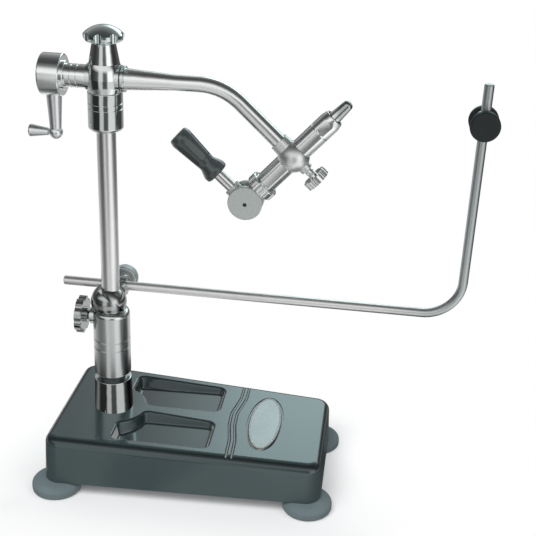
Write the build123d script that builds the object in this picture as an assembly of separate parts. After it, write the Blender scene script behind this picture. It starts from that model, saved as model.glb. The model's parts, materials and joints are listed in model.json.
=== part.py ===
from build123d import *
import os
from math import atan, cos, degrees, radians, sin, tan

# Rotary fly tying vise on a pedestal base, in millimetres.
# The post axis is the line x = 0, y = 0 while modelling; the export moves it so that the origin lies
# on the table under the middle of the whole object. X runs to the jaws, Y to the back, Z up.

# Clearances and cuts
RUN_FIT = 0.05  # radial, of a turning or sliding fit
SEAT_FIT = 0.02  # radial, of a pressed or screwed seat
PAD_GAP = 0.1  # a clamping pad and the rod it presses
FACE_GAP = 0.3  # faces that turn or slide past each other
OVERRUN = 1.0  # how far a cutting body stands past what it cuts

# Feet and base casting
FOOT_RADIUS = 13.75
FOOT_WALL = 4.5  # table to the shoulder's corner
FOOT_CROWN_RADIUS = 10.0
FOOT_HEIGHT = 6.5
FOOT_ROUND = 1.2
FOOT_SHOULDER = 1.9
FOOT_INSET_LEFT = 7.0  # base end to foot centre
FOOT_INSET_RIGHT = 7.4
FOOT_INSET_SIDE = 6.4
FOOT_SCREW_RADIUS = 2.0
FOOT_SCREW_HEAD_RADIUS = 4.0
FOOT_SCREW_HEAD = 2.4
FOOT_SCREW_BITE = 8.0
FOOT_SCREW_RECESS = 0.8

BASE_LEFT = 29.8  # post axis to the left end
BASE_RIGHT = 124.6
BASE_HALF_LEFT = 44.7  # half width at the left end
BASE_HALF_RIGHT = 38.0
BASE_HEIGHT = 26.7  # at the post
BASE_SLOPE = 1.78  # degrees that the top falls to the right
BASE_DRAFT = 2.5
BASE_CORNER = 9.0
BASE_EDGE = 5.0

TRAY_LEFT = 7.0
TRAY_RIGHT = 60.5
TRAY_SIDE = 9.3  # base's side, at its foot, to the tray
TRAY_RIB_LEFT = 5.6  # width of the rib between the trays
TRAY_RIB_RIGHT = 12.0
TRAY_BOSS = 19.4  # radius of the land round the post
TRAY_DEPTH_LEFT = 8.4
TRAY_DEPTH_RIGHT = 4.2
TRAY_CORNER = 4.0
TRAY_DRAFT = 10.0
TRAY_EDGE = 1.6  # rounding of the rim
TRAY_FLOOR_ROUND = 1.8

WAVE_PLACE = 71.5
WAVE_BEND = 3.0  # how far the wave swings to the left
WAVE_STEP = 3.1  # first groove to second
WAVE_RADIUS = 1.0  # of the groove's round section
WAVE_RISE = 0.2  # its centre above the top
WAVE_ROUND = 30.0
# Along half the base's width, and along the swing
WAVE_SHARES = ((1.1, 0.0), (0.55, 0.0), (0.15, -1.0), (-0.15, -0.85), (-0.5, 0.0), (-1.1, 0.3))

BADGE_PLACE = 88.7
BADGE_HALF_LENGTH = 27.8
BADGE_HALF_WIDTH = 10.4
BADGE_RECESS = 1.0
BADGE_RIM = 1.2  # gap between recess and plate
BADGE_THICKNESS = 1.5
BADGE_ROUND = 0.8

# Post: collar, sleeve, bolt and the stem's thumbscrew
COLLAR_RADIUS = 11.0
COLLAR_TOP_RADIUS = 10.4
COLLAR_HEIGHT = 19.0
COLLAR_SEAT = 0.6
COLLAR_SPIGOT_RADIUS = 7.0
COLLAR_SPIGOT = 8.0
NECK_RADIUS = 7.9  # of the rubber ring between collar and sleeve
NECK_HEIGHT = 3.7
NECK_SPIGOT_RADIUS = 6.8
NECK_SPIGOT = 9.0
SLEEVE_RADIUS = 10.25
SLEEVE_LENGTH = 39.4
SLEEVE_SHOULDER = 3.0
SLEEVE_RING_FIRST = 16.6  # sleeve foot to first engraved ring
SLEEVE_RING_STEP = 5.1
RING_WIDTH = 0.7
RING_DEPTH = 0.4
POST_BOLT_RADIUS = 4.0
POST_BOLT_HEAD_RADIUS = 6.5
POST_BOLT_HEAD = 6.4
POST_BOLT_BITE = 4.5  # into the collar, past its spigot
POST_WASHER_RADIUS = 8.0
POST_WASHER = 1.6
POST_BORE_RADIUS = 8.6
POST_BORE = 9.0

STEM_RADIUS = 5.0
STEM_FOOT = 6.8  # base top to the stem's lower end
STEM_BORE_SPARE = 3.0
STEM_CHAMFER = 0.6

STEM_SCREW_DROP = 5.4  # sleeve top to the screw's axis
STEM_SCREW_RADIUS = 2.4
STEM_SCREW_BOSS_RADIUS = 4.8
STEM_SCREW_BOSS = 1.3  # past the sleeve
STEM_SCREW_SHOWN = 3.2
STEM_PAD = 2.0
STEM_KNOB_RADIUS = 10.4
STEM_KNOB = 4.8
STEM_KNOB_DOME = 0.9
STEM_KNOB_HUB_RADIUS = 4.2
STEM_KNOB_HUB = 1.6

# Knobs share their lobes
KNOB_LOBES = 8
KNOB_SCALLOP_SHARE = 0.2  # scallop radius, of the knob's
KNOB_PITCH_SHARE = 1.07  # radius of the circle of scallop centres, of the knob's
KNOB_EDGE_SHARE = 0.05

# Cradle: clamp, knob, arm and rest
CLAMP_BALL = 9.9
CLAMP_BALL_OFFSET = 1.3  # ball's centre left of the stem's axis
CLAMP_BALL_RISE = 4.0  # clamp's flat foot to the ball's centre
CLAMP_ARM_RISE = 5.7  # ball centre to the arm's axis
CLAMP_ARM_BACK = 9.5
CLAMP_EYE_RADIUS = 5.2
CLAMP_EYE_HALF = 6.8
CLAMP_BOSS_RADIUS = 4.8
CLAMP_BOSS = 7.2  # past the arm's axis
CLAMP_SPLIT = 1.8
CLAMP_SPLIT_TURN = 38.0  # degrees from the front towards the jaws
CLAMP_SPLIT_LEAN = 40.0
CRADLE_SCREW_PLACE = 2.8
CRADLE_SCREW_RADIUS = 2.0
CRADLE_KNOB_RADIUS = 7.2
CRADLE_KNOB = 6.0
CRADLE_KNOB_ROUND = 1.2
CRADLE_SHOE = 1.8

ARM_RADIUS = 2.5
ARM_LEFT = 29.4
ARM_RIGHT = 190.3
ARM_RISE = 126.9  # lower run to the top of the upright
ARM_BEND = 20.0
ARM_CHAMFER = 0.4

REST_DROP = 19.8  # top of the upright to the rest
REST_BARREL_RADIUS = 6.6
REST_BARREL = 7.0
REST_STUD_RADIUS = 2.0
REST_STUD = 3.0
REST_DISC_RADIUS = 7.6
REST_DISC = 4.3
REST_DISC_ROUND = 1.1

# Head on the stem
AXIS_HEIGHT = 129.1  # sleeve top to the rotary axis
HOUSING_RADIUS = 9.0
HOUSING_DROP = 26.9  # rotary axis to the housing's foot
HOUSING_RISE = 7.6
HOUSING_SWELL_RADIUS = 9.3  # where it swells round the shaft
HOUSING_SWELL_FOOT_RADIUS = 8.5
HOUSING_SWELL_DROP = 6.8  # rotary axis to the swell's foot
HOUSING_BOSS_RADIUS = 6.9
HOUSING_FACE = 8.7  # post axis to the boss's flat ends
HOUSING_FOOT_ROUND = 2.2
HOUSING_RING_DROP = 12.4  # rotary axis to the first engraved ring
HOUSING_RING_STEP = 2.8
HOUSING_STEM_SEAT = 18.6
BUSH_RADIUS = 6.0
BUSH_LENGTH = 4.9
BUSH_SINK = 0.4
CAP_FOOT_RADIUS = 7.8
CAP_TOP_RADIUS = 6.0
CAP_HEIGHT = 10.0
SHOE_RADIUS = 3.0
SHOE_LENGTH = 4.5
TOP_SCREW_RADIUS = 3.0
TOP_KNOB_RADIUS = 10.2
TOP_KNOB = 8.6
TOP_KNOB_DOME = 4.6
TOP_KNOB_UNDER = 3.4  # rounding of its lower edge
GRUB_RADIUS = 2.0
GRUB_LENGTH = 3.4
GRUB_RISE = 6.0  # housing foot to the grub screw

# Rotary shaft, arm and ball clamp
SHAFT_RADIUS = 4.0
SHAFT_LEFT = 29.3
RING_COLLAR_RADIUS = 6.6
RING_COLLAR = 2.0
TAPER_RADIUS = 5.5
TAPER_LENGTH = 25.0
REACH = 60.0  # post axis to the corner of the bend
DROP_LENGTH = 50.0  # corner of the bend to the ball's centre
DROP_ANGLE = 42.0
SHAFT_BEND = 30.0
BALL_RADIUS = 8.2
BALL_NECK_RADIUS = 5.0
BALL_NECK = 2.6
BALL_BOSS_RADIUS = 3.4
BALL_BOSS = 1.4
ARM_SEAT = 6.3  # ball centre to the arm's end
JAW_SCREW_RADIUS = 2.0
JAW_PAD = 1.4
JAW_KNOB_PLACE = 14.0  # ball centre to the knob's inner face
JAW_KNOB_RADIUS = 6.7
JAW_KNOB = 5.0
JAW_KNOB_DOME = 0.8

# Crank
SPACER_RADIUS = 6.0
SPACER_GROOVE_STEP = 3.2
HUB_RADIUS = 10.7
HUB_LENGTH = 11.2
HUB_EDGE = 0.8
HUB_NOSE_RADIUS = 7.4
HUB_NOSE = 1.4
HUB_DISH_RADIUS = 8.0
HUB_DISH = 1.0
HUB_SCREW_RADIUS = 2.0
HUB_SCREW_HEAD_RADIUS = 3.6
HUB_SCREW_HEAD = 2.2
HUB_SCREW_LENGTH = 8.0
LEVER_TOP_RADIUS = 4.0
LEVER_FOOT_RADIUS = 2.8
LEVER_SOCKET = 4.0
THROW = 30.2  # rotary axis to the handle's axis
LEVER_BALL = 3.6
HANDLE_LENGTH = 10.2
HANDLE_FOOT_RADIUS = 1.9
HANDLE_END_RADIUS = 3.4
HANDLE_ROUND = 0.8
HANDLE_PIN_RADIUS = 1.1
HANDLE_PIN_HEAD_RADIUS = 1.9
HANDLE_PIN_HEAD = 1.0
HANDLE_PIN_BITE = 2.5

# Jaw head, measured along its axis from the ball's centre
BARREL_RADIUS = 5.7
BARREL_FRONT = 25.6
BARREL_BACK = 20.3
BARREL_BORE = 3.9
BARREL_FLAT = 0.4  # depth of the long flat on the front
NOSE_LENGTH = 3.4
NOSE_RADIUS = 4.9
BARREL_RING_PLACE = 18.6
TAIL_RADIUS = 4.9
TAIL_LENGTH = 4.0
COLLAR_NUT_RADIUS = 7.9
COLLAR_NUT = 5.0
COLLAR_NUT_WALL = 0.8
COLLAR_NUT_SCALLOPS = 10
COLLAR_NUT_SCALLOP_SHARE = 0.16
JAW_TAIL = 11.0
JAW_TAIL_RADIUS = 3.4
JAW_ROOT_RADIUS = 3.3
JAW_TIP_RADIUS = 2.5
JAW_TIP = 39.7
JAW_TIP_ROUND = 1.9
JAW_SPLIT = 0.16
JAW_RELIEF = 1.5  # split between the tails, which close up as the jaws open
JAW_PIN_RADIUS = 0.6
JAW_PIN_PLACE = 20.0
JAW_PIN_OFFSET = 1.4
JAW_PIN_HALF = 5.2
JAW_MOUTH_RADIUS = 2.3  # hollow between the tails, which widens forwards
JAW_HOLLOW_RADIUS = 2.8
JAW_HOLLOW = 3.9
DRAW_RADIUS = 1.9
DRAW_HEAD_RADIUS = 2.45  # flared head, which spreads the tails when it is drawn back
DRAW_HEAD = 2.4
DRAW_FRONT = 13.7
TONGUE_HALF = 3.0
TONGUE_THICKNESS = 4.0
TONGUE_LENGTH = 6.8
EYE_RADIUS = 3.4
SPRING_RADIUS = 3.6
SPRING_FRONT = 8.0
SPRING_BACK = 20.0

# Cam, its pin, lever and grip
CAM_RADIUS = 9.0
CAM_THROW = 0.42  # cam's centre off the pin, along the jaws and along the lever
CAM_HALF = 6.0
CAM_GAP = 0.08  # cam to the adjusting collar, jaws open
CAM_CHEEK = 3.0
CAM_EDGE = 0.4
CAM_PIN_RADIUS = 1.0
CAM_PIN_SINK = 0.5
CAM_BOSS_RADIUS = 4.3
CAM_BOSS_START = 5.2
CAM_BOSS_END = 10.6
LEVER_ROD_RADIUS = 3.0
LEVER_ROD_START = 6.4
LEVER_ROD_END = 29.0
GRIP_START = 20.4
GRIP_LENGTH = 28.8
GRIP_FLANGE_RADIUS = 6.5
GRIP_FLANGE = 3.2
GRIP_WAIST_RADIUS = 4.6
GRIP_END_RADIUS = 6.0
GRIP_ROUND = 1.4
GRIP_WAIST_SHARE = 0.27  # of the grip's length
GRIP_SWELL_SHARE = 0.9
GRIP_PANELS = 6
GRIP_PANEL_WIDTH = 3.4
GRIP_PANEL_DEPTH = 0.5
GRIP_PANEL_START_SHARE = 0.36
GRIP_PANEL_END_SHARE = 0.84

# Levels and places that follow
BASE_TOP = FOOT_HEIGHT + BASE_HEIGHT
COLLAR_FOOT = BASE_TOP - COLLAR_SEAT
SLEEVE_FOOT = BASE_TOP + COLLAR_HEIGHT + NECK_HEIGHT
SLEEVE_TOP = SLEEVE_FOOT + SLEEVE_LENGTH
STEM_SCREW_Z = SLEEVE_TOP - STEM_SCREW_DROP
CLAMP_FOOT = SLEEVE_TOP + FACE_GAP
CLAMP_Z = CLAMP_FOOT + CLAMP_BALL_RISE
ARM_Z = CLAMP_Z + CLAMP_ARM_RISE
REST_Z = ARM_Z + ARM_RISE - REST_DROP
AXIS_Z = SLEEVE_TOP + AXIS_HEIGHT
HOUSING_FOOT = AXIS_Z - HOUSING_DROP
HOUSING_TOP = AXIS_Z + HOUSING_RISE
STEM_TOP = HOUSING_FOOT + HOUSING_STEM_SEAT
STEM_BOTTOM = BASE_TOP + STEM_FOOT
COLLAR_X = HOUSING_FACE + FACE_GAP
TAPER_X = COLLAR_X + RING_COLLAR
SPACER_RIGHT = HOUSING_FACE + FACE_GAP
HUB_RIGHT = SHAFT_LEFT - HUB_LENGTH + HUB_EDGE + HUB_SCREW_HEAD
HUB_LEFT = HUB_RIGHT + HUB_LENGTH
LEVER_X = (HUB_RIGHT + HUB_LEFT) / 2
HANDLE_RIGHT = LEVER_X + LEVER_BALL + FACE_GAP
HANDLE_LEFT = HANDLE_RIGHT + HANDLE_LENGTH
HANDLE_Z = AXIS_Z - THROW
BALL_X = REACH + DROP_LENGTH * cos(radians(DROP_ANGLE))
BALL_Z = AXIS_Z - DROP_LENGTH * sin(radians(DROP_ANGLE))
CAM_PLACE = BARREL_BACK + FACE_GAP + COLLAR_NUT + CAM_GAP + CAM_RADIUS + CAM_THROW
TRAY_FLOOR_RISE = degrees(atan((TRAY_DEPTH_LEFT - TRAY_DEPTH_RIGHT) / (TRAY_RIGHT - TRAY_LEFT)))
# The origin lies under the middle of the reach from crank handle to cradle rest.
POST_X = (HANDLE_LEFT - ARM_RIGHT - REST_DISC_RADIUS) / 2

# Working planes: the sloping top of the base, and the jaws' own frame at the ball,
# with its normal along the jaws and its X axis along the lower run of the rotary arm
TOP_PLANE = Plane(
    origin=(0, 0, BASE_TOP),
    x_dir=(cos(radians(BASE_SLOPE)), 0, -sin(radians(BASE_SLOPE))),
    z_dir=(sin(radians(BASE_SLOPE)), 0, cos(radians(BASE_SLOPE))),
)
JAW_PLANE = Plane(
    origin=(BALL_X, 0, BALL_Z),
    x_dir=(cos(radians(DROP_ANGLE)), 0, -sin(radians(DROP_ANGLE))),
    z_dir=(sin(radians(DROP_ANGLE)), 0, cos(radians(DROP_ANGLE))),
)
X_AXIS_PLANE = Plane(origin=(0, 0, AXIS_Z), x_dir=(0, 1, 0), z_dir=(1, 0, 0))


def turned(profile):
    """A solid turned about Z from points of radius, height and corner round."""
    points = [(radius, height) for radius, height, _ in profile]
    rounds = [corner for _, _, corner in profile]
    face = make_face(FilletPolyline(*points, radius=rounds, close=True))
    return revolve(Plane.XZ * face, axis=Axis.Z)


def rod(start, end, radius):
    """A round bar between two points."""
    run = Vector(*end) - Vector(*start)
    return extrude(Plane(origin=start, z_dir=run) * Circle(radius), amount=run.length)


def ring_groove(radius, height, width=RING_WIDTH, depth=RING_DEPTH):
    """The ring that cuts an engraved line round a turned piece."""
    inner = radius - depth
    outer = radius + OVERRUN
    low = height - width / 2
    high = height + width / 2
    return turned([(inner, low, 0), (outer, low, 0), (outer, high, 0), (inner, high, 0)])


def knob_head(radius, thickness, dome_rise, under=0):
    """A lobed knob that stands on Z = 0, with a domed outer face and a rounded or chamfered lower edge."""
    scallop = radius * KNOB_SCALLOP_SHARE
    edge = radius * KNOB_EDGE_SHARE
    plan = Circle(radius) - PolarLocations(radius * KNOB_PITCH_SHARE, KNOB_LOBES) * Circle(scallop)
    plan = fillet(plan.vertices(), edge)
    head = extrude(plan, amount=thickness)
    dome = (radius**2 + dome_rise**2) / (2 * dome_rise)
    head &= Pos(0, 0, thickness - dome) * Sphere(dome)
    if not under:
        return chamfer(head.edges().group_by(Axis.Z)[0], edge)
    return head & turned([(0, 0, 0), (radius, 0, under), (radius, thickness, 0), (0, thickness, 0)])


def group(pieces):
    """Several loose solids in one node."""
    return Compound([solid for piece in pieces for solid in piece.solids()])


def foot_places():
    """Centres of the four feet."""
    left = FOOT_INSET_LEFT - BASE_LEFT
    right = BASE_RIGHT - FOOT_INSET_RIGHT
    half_left = BASE_HALF_LEFT - FOOT_INSET_SIDE
    half_right = BASE_HALF_RIGHT - FOOT_INSET_SIDE
    return [(left, -half_left), (right, -half_right), (right, half_right), (left, half_left)]


def half_width(x):
    """Half the base's width, at its foot, at a place along it."""
    share = (x + BASE_LEFT) / (BASE_RIGHT + BASE_LEFT)
    return BASE_HALF_LEFT + share * (BASE_HALF_RIGHT - BASE_HALF_LEFT)


def tray_cut(side):
    """The recess on one side of the rib: it shoals to the right and leaves the land round the post standing."""
    corners = [
        (TRAY_LEFT, side * TRAY_RIB_LEFT / 2),
        (TRAY_RIGHT, side * TRAY_RIB_RIGHT / 2),
        (TRAY_RIGHT, side * (half_width(TRAY_RIGHT) - TRAY_SIDE)),
        (TRAY_LEFT, side * (half_width(TRAY_LEFT) - TRAY_SIDE)),
    ]
    outline = make_face(Polyline(*corners, close=True)) - Circle(TRAY_BOSS)
    outline = fillet(outline.vertices(), TRAY_CORNER)
    down_plane = Plane(TOP_PLANE.origin, x_dir=TOP_PLANE.x_dir, z_dir=-TOP_PLANE.z_dir)
    flipped = mirror(outline, about=Plane.XZ)
    tool = extrude(down_plane * flipped, amount=TRAY_DEPTH_LEFT, taper=TRAY_DRAFT)
    floor = TOP_PLANE.location * Pos(TRAY_LEFT, 0, -TRAY_DEPTH_LEFT) * Rot(0, -TRAY_FLOOR_RISE, 0)
    tool = split(tool, bisect_by=Plane(floor), keep=Keep.TOP)
    return fillet(tool.faces().sort_by(Axis.Z)[0].edges(), TRAY_FLOOR_ROUND)


def wave_cut(shift):
    """One wavy groove of round section across the base."""
    half = (BASE_HALF_LEFT + BASE_HALF_RIGHT) / 2
    points = [(WAVE_PLACE + shift + swing * WAVE_BEND, along * half) for along, swing in WAVE_SHARES]
    path = TOP_PLANE.location * Pos(0, 0, WAVE_RISE) * FilletPolyline(*points, radius=WAVE_ROUND)
    return sweep(Plane(origin=path @ 0, z_dir=path % 0) * Circle(WAVE_RADIUS), path=path)


def base_casting():
    """The cast base: drafted sides, sloping top with two trays, wavy grooves and a badge seat."""
    corners = [
        (-BASE_LEFT, -BASE_HALF_LEFT),
        (BASE_RIGHT, -BASE_HALF_RIGHT),
        (BASE_RIGHT, BASE_HALF_RIGHT),
        (-BASE_LEFT, BASE_HALF_LEFT),
    ]
    outline = make_face(FilletPolyline(*corners, radius=BASE_CORNER, close=True))
    blank_height = BASE_HEIGHT + BASE_LEFT * tan(radians(BASE_SLOPE)) + OVERRUN
    blank = Pos(0, 0, FOOT_HEIGHT) * extrude(outline, amount=blank_height, taper=BASE_DRAFT)
    body = split(blank, bisect_by=TOP_PLANE, keep=Keep.BOTTOM)
    body = fillet(body.faces().sort_by(Axis.Z)[-1].edges(), BASE_EDGE)
    body -= tray_cut(1)
    body -= tray_cut(-1)
    upward = body.faces().filter_by(GeomType.PLANE).filter_by(lambda face: face.normal_at().Z > 0)
    top = upward.sort_by(SortBy.AREA)[-1]
    rims = [edge for wire in top.inner_wires() for edge in wire.edges()]
    body = fillet(rims, TRAY_EDGE)
    for shift in (0, WAVE_STEP):
        body -= wave_cut(shift)
    badge = Pos(BADGE_PLACE, 0) * Ellipse(BADGE_HALF_WIDTH, BADGE_HALF_LENGTH)
    body -= extrude(TOP_PLANE * badge, amount=BADGE_RECESS, both=True)
    body -= rod((0, 0, COLLAR_FOOT), (0, 0, BASE_TOP + OVERRUN), COLLAR_RADIUS + RUN_FIT)
    spigot_foot = COLLAR_FOOT - COLLAR_SPIGOT
    body -= rod((0, 0, spigot_foot), (0, 0, BASE_TOP), COLLAR_SPIGOT_RADIUS + SEAT_FIT)
    body -= rod((0, 0, FOOT_HEIGHT - OVERRUN), (0, 0, FOOT_HEIGHT + POST_BORE), POST_BORE_RADIUS)
    body -= rod((0, 0, FOOT_HEIGHT), (0, 0, BASE_TOP), POST_BOLT_RADIUS + RUN_FIT)
    for x, y in foot_places():
        top = FOOT_HEIGHT + FOOT_SCREW_BITE
        body -= rod((x, y, FOOT_HEIGHT - OVERRUN), (x, y, top), FOOT_SCREW_RADIUS + SEAT_FIT)
    return body


def badge_plate():
    """The bare oval plate in its seat."""
    oval = Ellipse(BADGE_HALF_WIDTH - BADGE_RIM, BADGE_HALF_LENGTH - BADGE_RIM)
    plate = extrude(oval, amount=BADGE_THICKNESS)
    plate = fillet(plate.edges().group_by(Axis.Z)[-1], BADGE_ROUND)
    return TOP_PLANE.location * Pos(BADGE_PLACE, 0, -BADGE_RECESS) * plate


def rubber_feet():
    """Four rubber discs with a round shoulder."""
    hole = FOOT_SCREW_RADIUS + RUN_FIT
    well = FOOT_SCREW_HEAD_RADIUS + RUN_FIT
    well_top = FOOT_SCREW_RECESS + FOOT_SCREW_HEAD
    foot = turned(
        [
            (well, 0, 0),
            (FOOT_RADIUS, 0, FOOT_ROUND),
            (FOOT_RADIUS, FOOT_WALL, FOOT_SHOULDER),
            (FOOT_CROWN_RADIUS, FOOT_HEIGHT, 0),
            (hole, FOOT_HEIGHT, 0),
            (hole, well_top, 0),
            (well, well_top, 0),
        ]
    )
    return group([Pos(x, y, 0) * foot for x, y in foot_places()])


def foot_screws():
    """Four screws that hold the feet."""
    neck = FOOT_SCREW_RECESS + FOOT_SCREW_HEAD
    screw = rod((0, 0, FOOT_SCREW_RECESS), (0, 0, neck), FOOT_SCREW_HEAD_RADIUS)
    screw += rod((0, 0, FOOT_SCREW_RECESS), (0, 0, FOOT_HEIGHT + FOOT_SCREW_BITE), FOOT_SCREW_RADIUS)
    return group([Pos(x, y, 0) * screw for x, y in foot_places()])


def post_collar():
    """The lower collar, with one spigot into the base and one up into the sleeve."""
    bolt = POST_BOLT_RADIUS + SEAT_FIT
    bore = STEM_RADIUS + RUN_FIT
    spigot_foot = COLLAR_FOOT - COLLAR_SPIGOT
    bolt_top = COLLAR_FOOT + POST_BOLT_BITE
    bore_foot = STEM_BOTTOM - STEM_BORE_SPARE
    body = turned(
        [
            (0, spigot_foot, 0),
            (COLLAR_SPIGOT_RADIUS, spigot_foot, 0),
            (COLLAR_SPIGOT_RADIUS, COLLAR_FOOT, 0),
            (COLLAR_RADIUS, COLLAR_FOOT, 0),
            (COLLAR_RADIUS, BASE_TOP, 0),
            (COLLAR_TOP_RADIUS, BASE_TOP + COLLAR_HEIGHT, RING_DEPTH),
            (NECK_SPIGOT_RADIUS, BASE_TOP + COLLAR_HEIGHT, 0),
            (NECK_SPIGOT_RADIUS, SLEEVE_FOOT + NECK_SPIGOT, 0),
            (0, SLEEVE_FOOT + NECK_SPIGOT, 0),
        ]
    )
    body -= rod((0, 0, bore_foot), (0, 0, SLEEVE_FOOT + NECK_SPIGOT), bore)
    return body - rod((0, 0, spigot_foot), (0, 0, bolt_top), bolt)


def post_gasket():
    """The rubber ring in the gap between collar and sleeve."""
    low = BASE_TOP + COLLAR_HEIGHT
    ring = rod((0, 0, low), (0, 0, SLEEVE_FOOT), NECK_RADIUS)
    return ring - rod((0, 0, low), (0, 0, SLEEVE_FOOT), NECK_SPIGOT_RADIUS + SEAT_FIT)


def post_bolt():
    """The bolt that holds the post from below."""
    seat = FOOT_HEIGHT + POST_BORE - POST_WASHER
    head_foot = seat - POST_BOLT_HEAD
    hexagon = Pos(0, 0, head_foot) * RegularPolygon(POST_BOLT_HEAD_RADIUS, 6)
    head = extrude(hexagon, amount=POST_BOLT_HEAD)
    return head + rod((0, 0, seat), (0, 0, COLLAR_FOOT + POST_BOLT_BITE), POST_BOLT_RADIUS)


def post_washer():
    """The washer under the post bolt's head."""
    top = FOOT_HEIGHT + POST_BORE
    disc = rod((0, 0, top - POST_WASHER), (0, 0, top), POST_WASHER_RADIUS)
    return disc - rod((0, 0, FOOT_HEIGHT), (0, 0, BASE_TOP), POST_BOLT_RADIUS + SEAT_FIT)


def post_sleeve():
    """The upper sleeve, with a rounded shoulder, two engraved rings and the thumbscrew's boss."""
    bore = STEM_RADIUS + RUN_FIT
    counterbore = NECK_SPIGOT_RADIUS + SEAT_FIT
    counterbore_top = SLEEVE_FOOT + NECK_SPIGOT + FACE_GAP
    body = turned(
        [
            (counterbore, SLEEVE_FOOT, 0),
            (SLEEVE_RADIUS, SLEEVE_FOOT, RING_DEPTH),
            (SLEEVE_RADIUS, SLEEVE_TOP, SLEEVE_SHOULDER),
            (bore, SLEEVE_TOP, 0),
            (bore, counterbore_top, 0),
            (counterbore, counterbore_top, 0),
        ]
    )
    for step in (0, SLEEVE_RING_STEP):
        body -= ring_groove(SLEEVE_RADIUS, SLEEVE_FOOT + SLEEVE_RING_FIRST + step)
    boss_end = -SLEEVE_RADIUS - STEM_SCREW_BOSS
    boss = rod((0, 0, STEM_SCREW_Z), (boss_end, 0, STEM_SCREW_Z), STEM_SCREW_BOSS_RADIUS)
    body += boss - rod((0, 0, SLEEVE_FOOT), (0, 0, SLEEVE_TOP + OVERRUN), SLEEVE_RADIUS - SLEEVE_SHOULDER)
    hole_end = boss_end - OVERRUN
    return body - rod((0, 0, STEM_SCREW_Z), (hole_end, 0, STEM_SCREW_Z), STEM_SCREW_RADIUS + RUN_FIT)


def stem_pad():
    """The brass pad between thumbscrew and stem."""
    near = -STEM_RADIUS - PAD_GAP
    return rod((near, 0, STEM_SCREW_Z), (near - STEM_PAD, 0, STEM_SCREW_Z), STEM_SCREW_RADIUS)


def stem_thumbscrew():
    """The lobed screw that locks the stem's height."""
    tip = -STEM_RADIUS - 2 * PAD_GAP - STEM_PAD
    boss_end = -SLEEVE_RADIUS - STEM_SCREW_BOSS
    face = boss_end - STEM_SCREW_SHOWN
    left = Plane(origin=(face, 0, STEM_SCREW_Z), z_dir=(-1, 0, 0))
    head = left.location * knob_head(STEM_KNOB_RADIUS, STEM_KNOB, STEM_KNOB_DOME)
    shank = rod((tip, 0, STEM_SCREW_Z), (face, 0, STEM_SCREW_Z), STEM_SCREW_RADIUS)
    hub = rod((face + STEM_KNOB_HUB, 0, STEM_SCREW_Z), (face, 0, STEM_SCREW_Z), STEM_KNOB_HUB_RADIUS)
    return head + shank + hub


def stem():
    """The round stem."""
    bar = rod((0, 0, STEM_BOTTOM), (0, 0, STEM_TOP), STEM_RADIUS)
    return chamfer(bar.edges(), STEM_CHAMFER)


def cradle_clamp():
    """The split ball round the stem, with an eye for the cradle arm and a boss for its screw behind."""
    eye_left = (-CLAMP_EYE_HALF, CLAMP_ARM_BACK, ARM_Z)
    eye_right = (CLAMP_EYE_HALF, CLAMP_ARM_BACK, ARM_Z)
    boss_end = CLAMP_ARM_BACK + CLAMP_BOSS
    body = Pos(-CLAMP_BALL_OFFSET, 0, CLAMP_Z) * Sphere(CLAMP_BALL)
    body += rod(eye_left, eye_right, CLAMP_EYE_RADIUS)
    x = CRADLE_SCREW_PLACE
    body += rod((x, CLAMP_ARM_BACK, ARM_Z), (x, boss_end, ARM_Z), CLAMP_BOSS_RADIUS)
    body = split(body, bisect_by=Plane(origin=(0, 0, CLAMP_FOOT)), keep=Keep.TOP)
    body -= rod((0, 0, CLAMP_Z - CLAMP_BALL), (0, 0, CLAMP_Z + CLAMP_BALL), STEM_RADIUS + RUN_FIT)
    far_left = (-CLAMP_EYE_HALF - OVERRUN, CLAMP_ARM_BACK, ARM_Z)
    far_right = (CLAMP_EYE_HALF + OVERRUN, CLAMP_ARM_BACK, ARM_Z)
    body -= rod(far_left, far_right, ARM_RADIUS + RUN_FIT)
    hole = CRADLE_SCREW_RADIUS + RUN_FIT
    body -= rod((x, 0, ARM_Z), (x, boss_end + OVERRUN, ARM_Z), hole)
    to_front = (Align.CENTER, Align.MAX, Align.CENTER)
    reach = CLAMP_BALL + CLAMP_BALL_OFFSET
    blade = Box(CLAMP_SPLIT, reach, 3 * CLAMP_BALL, align=to_front)
    return body - Pos(0, 0, CLAMP_Z) * Rot(0, 0, CLAMP_SPLIT_TURN) * Rot(0, -CLAMP_SPLIT_LEAN, 0) * blade


def cradle_shoe():
    """The brass shoe between cradle arm and stem."""
    x = CRADLE_SCREW_PLACE
    back = CLAMP_ARM_BACK - ARM_RADIUS - PAD_GAP
    return rod((x, back - CRADLE_SHOE, ARM_Z), (x, back, ARM_Z), CRADLE_SCREW_RADIUS)


def cradle_knob():
    """The round knob behind the clamp, with its screw."""
    x = CRADLE_SCREW_PLACE
    tip = CLAMP_ARM_BACK + ARM_RADIUS + PAD_GAP
    face = CLAMP_ARM_BACK + CLAMP_BOSS + FACE_GAP
    back = Plane(origin=(x, face, ARM_Z), z_dir=(0, 1, 0))
    disc = turned(
        [
            (0, 0, 0),
            (CRADLE_KNOB_RADIUS, 0, CRADLE_KNOB_ROUND),
            (CRADLE_KNOB_RADIUS, CRADLE_KNOB, CRADLE_KNOB_ROUND),
            (0, CRADLE_KNOB, 0),
        ]
    )
    head = back.location * disc
    return head + rod((x, tip, ARM_Z), (x, face, ARM_Z), CRADLE_SCREW_RADIUS)


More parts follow.
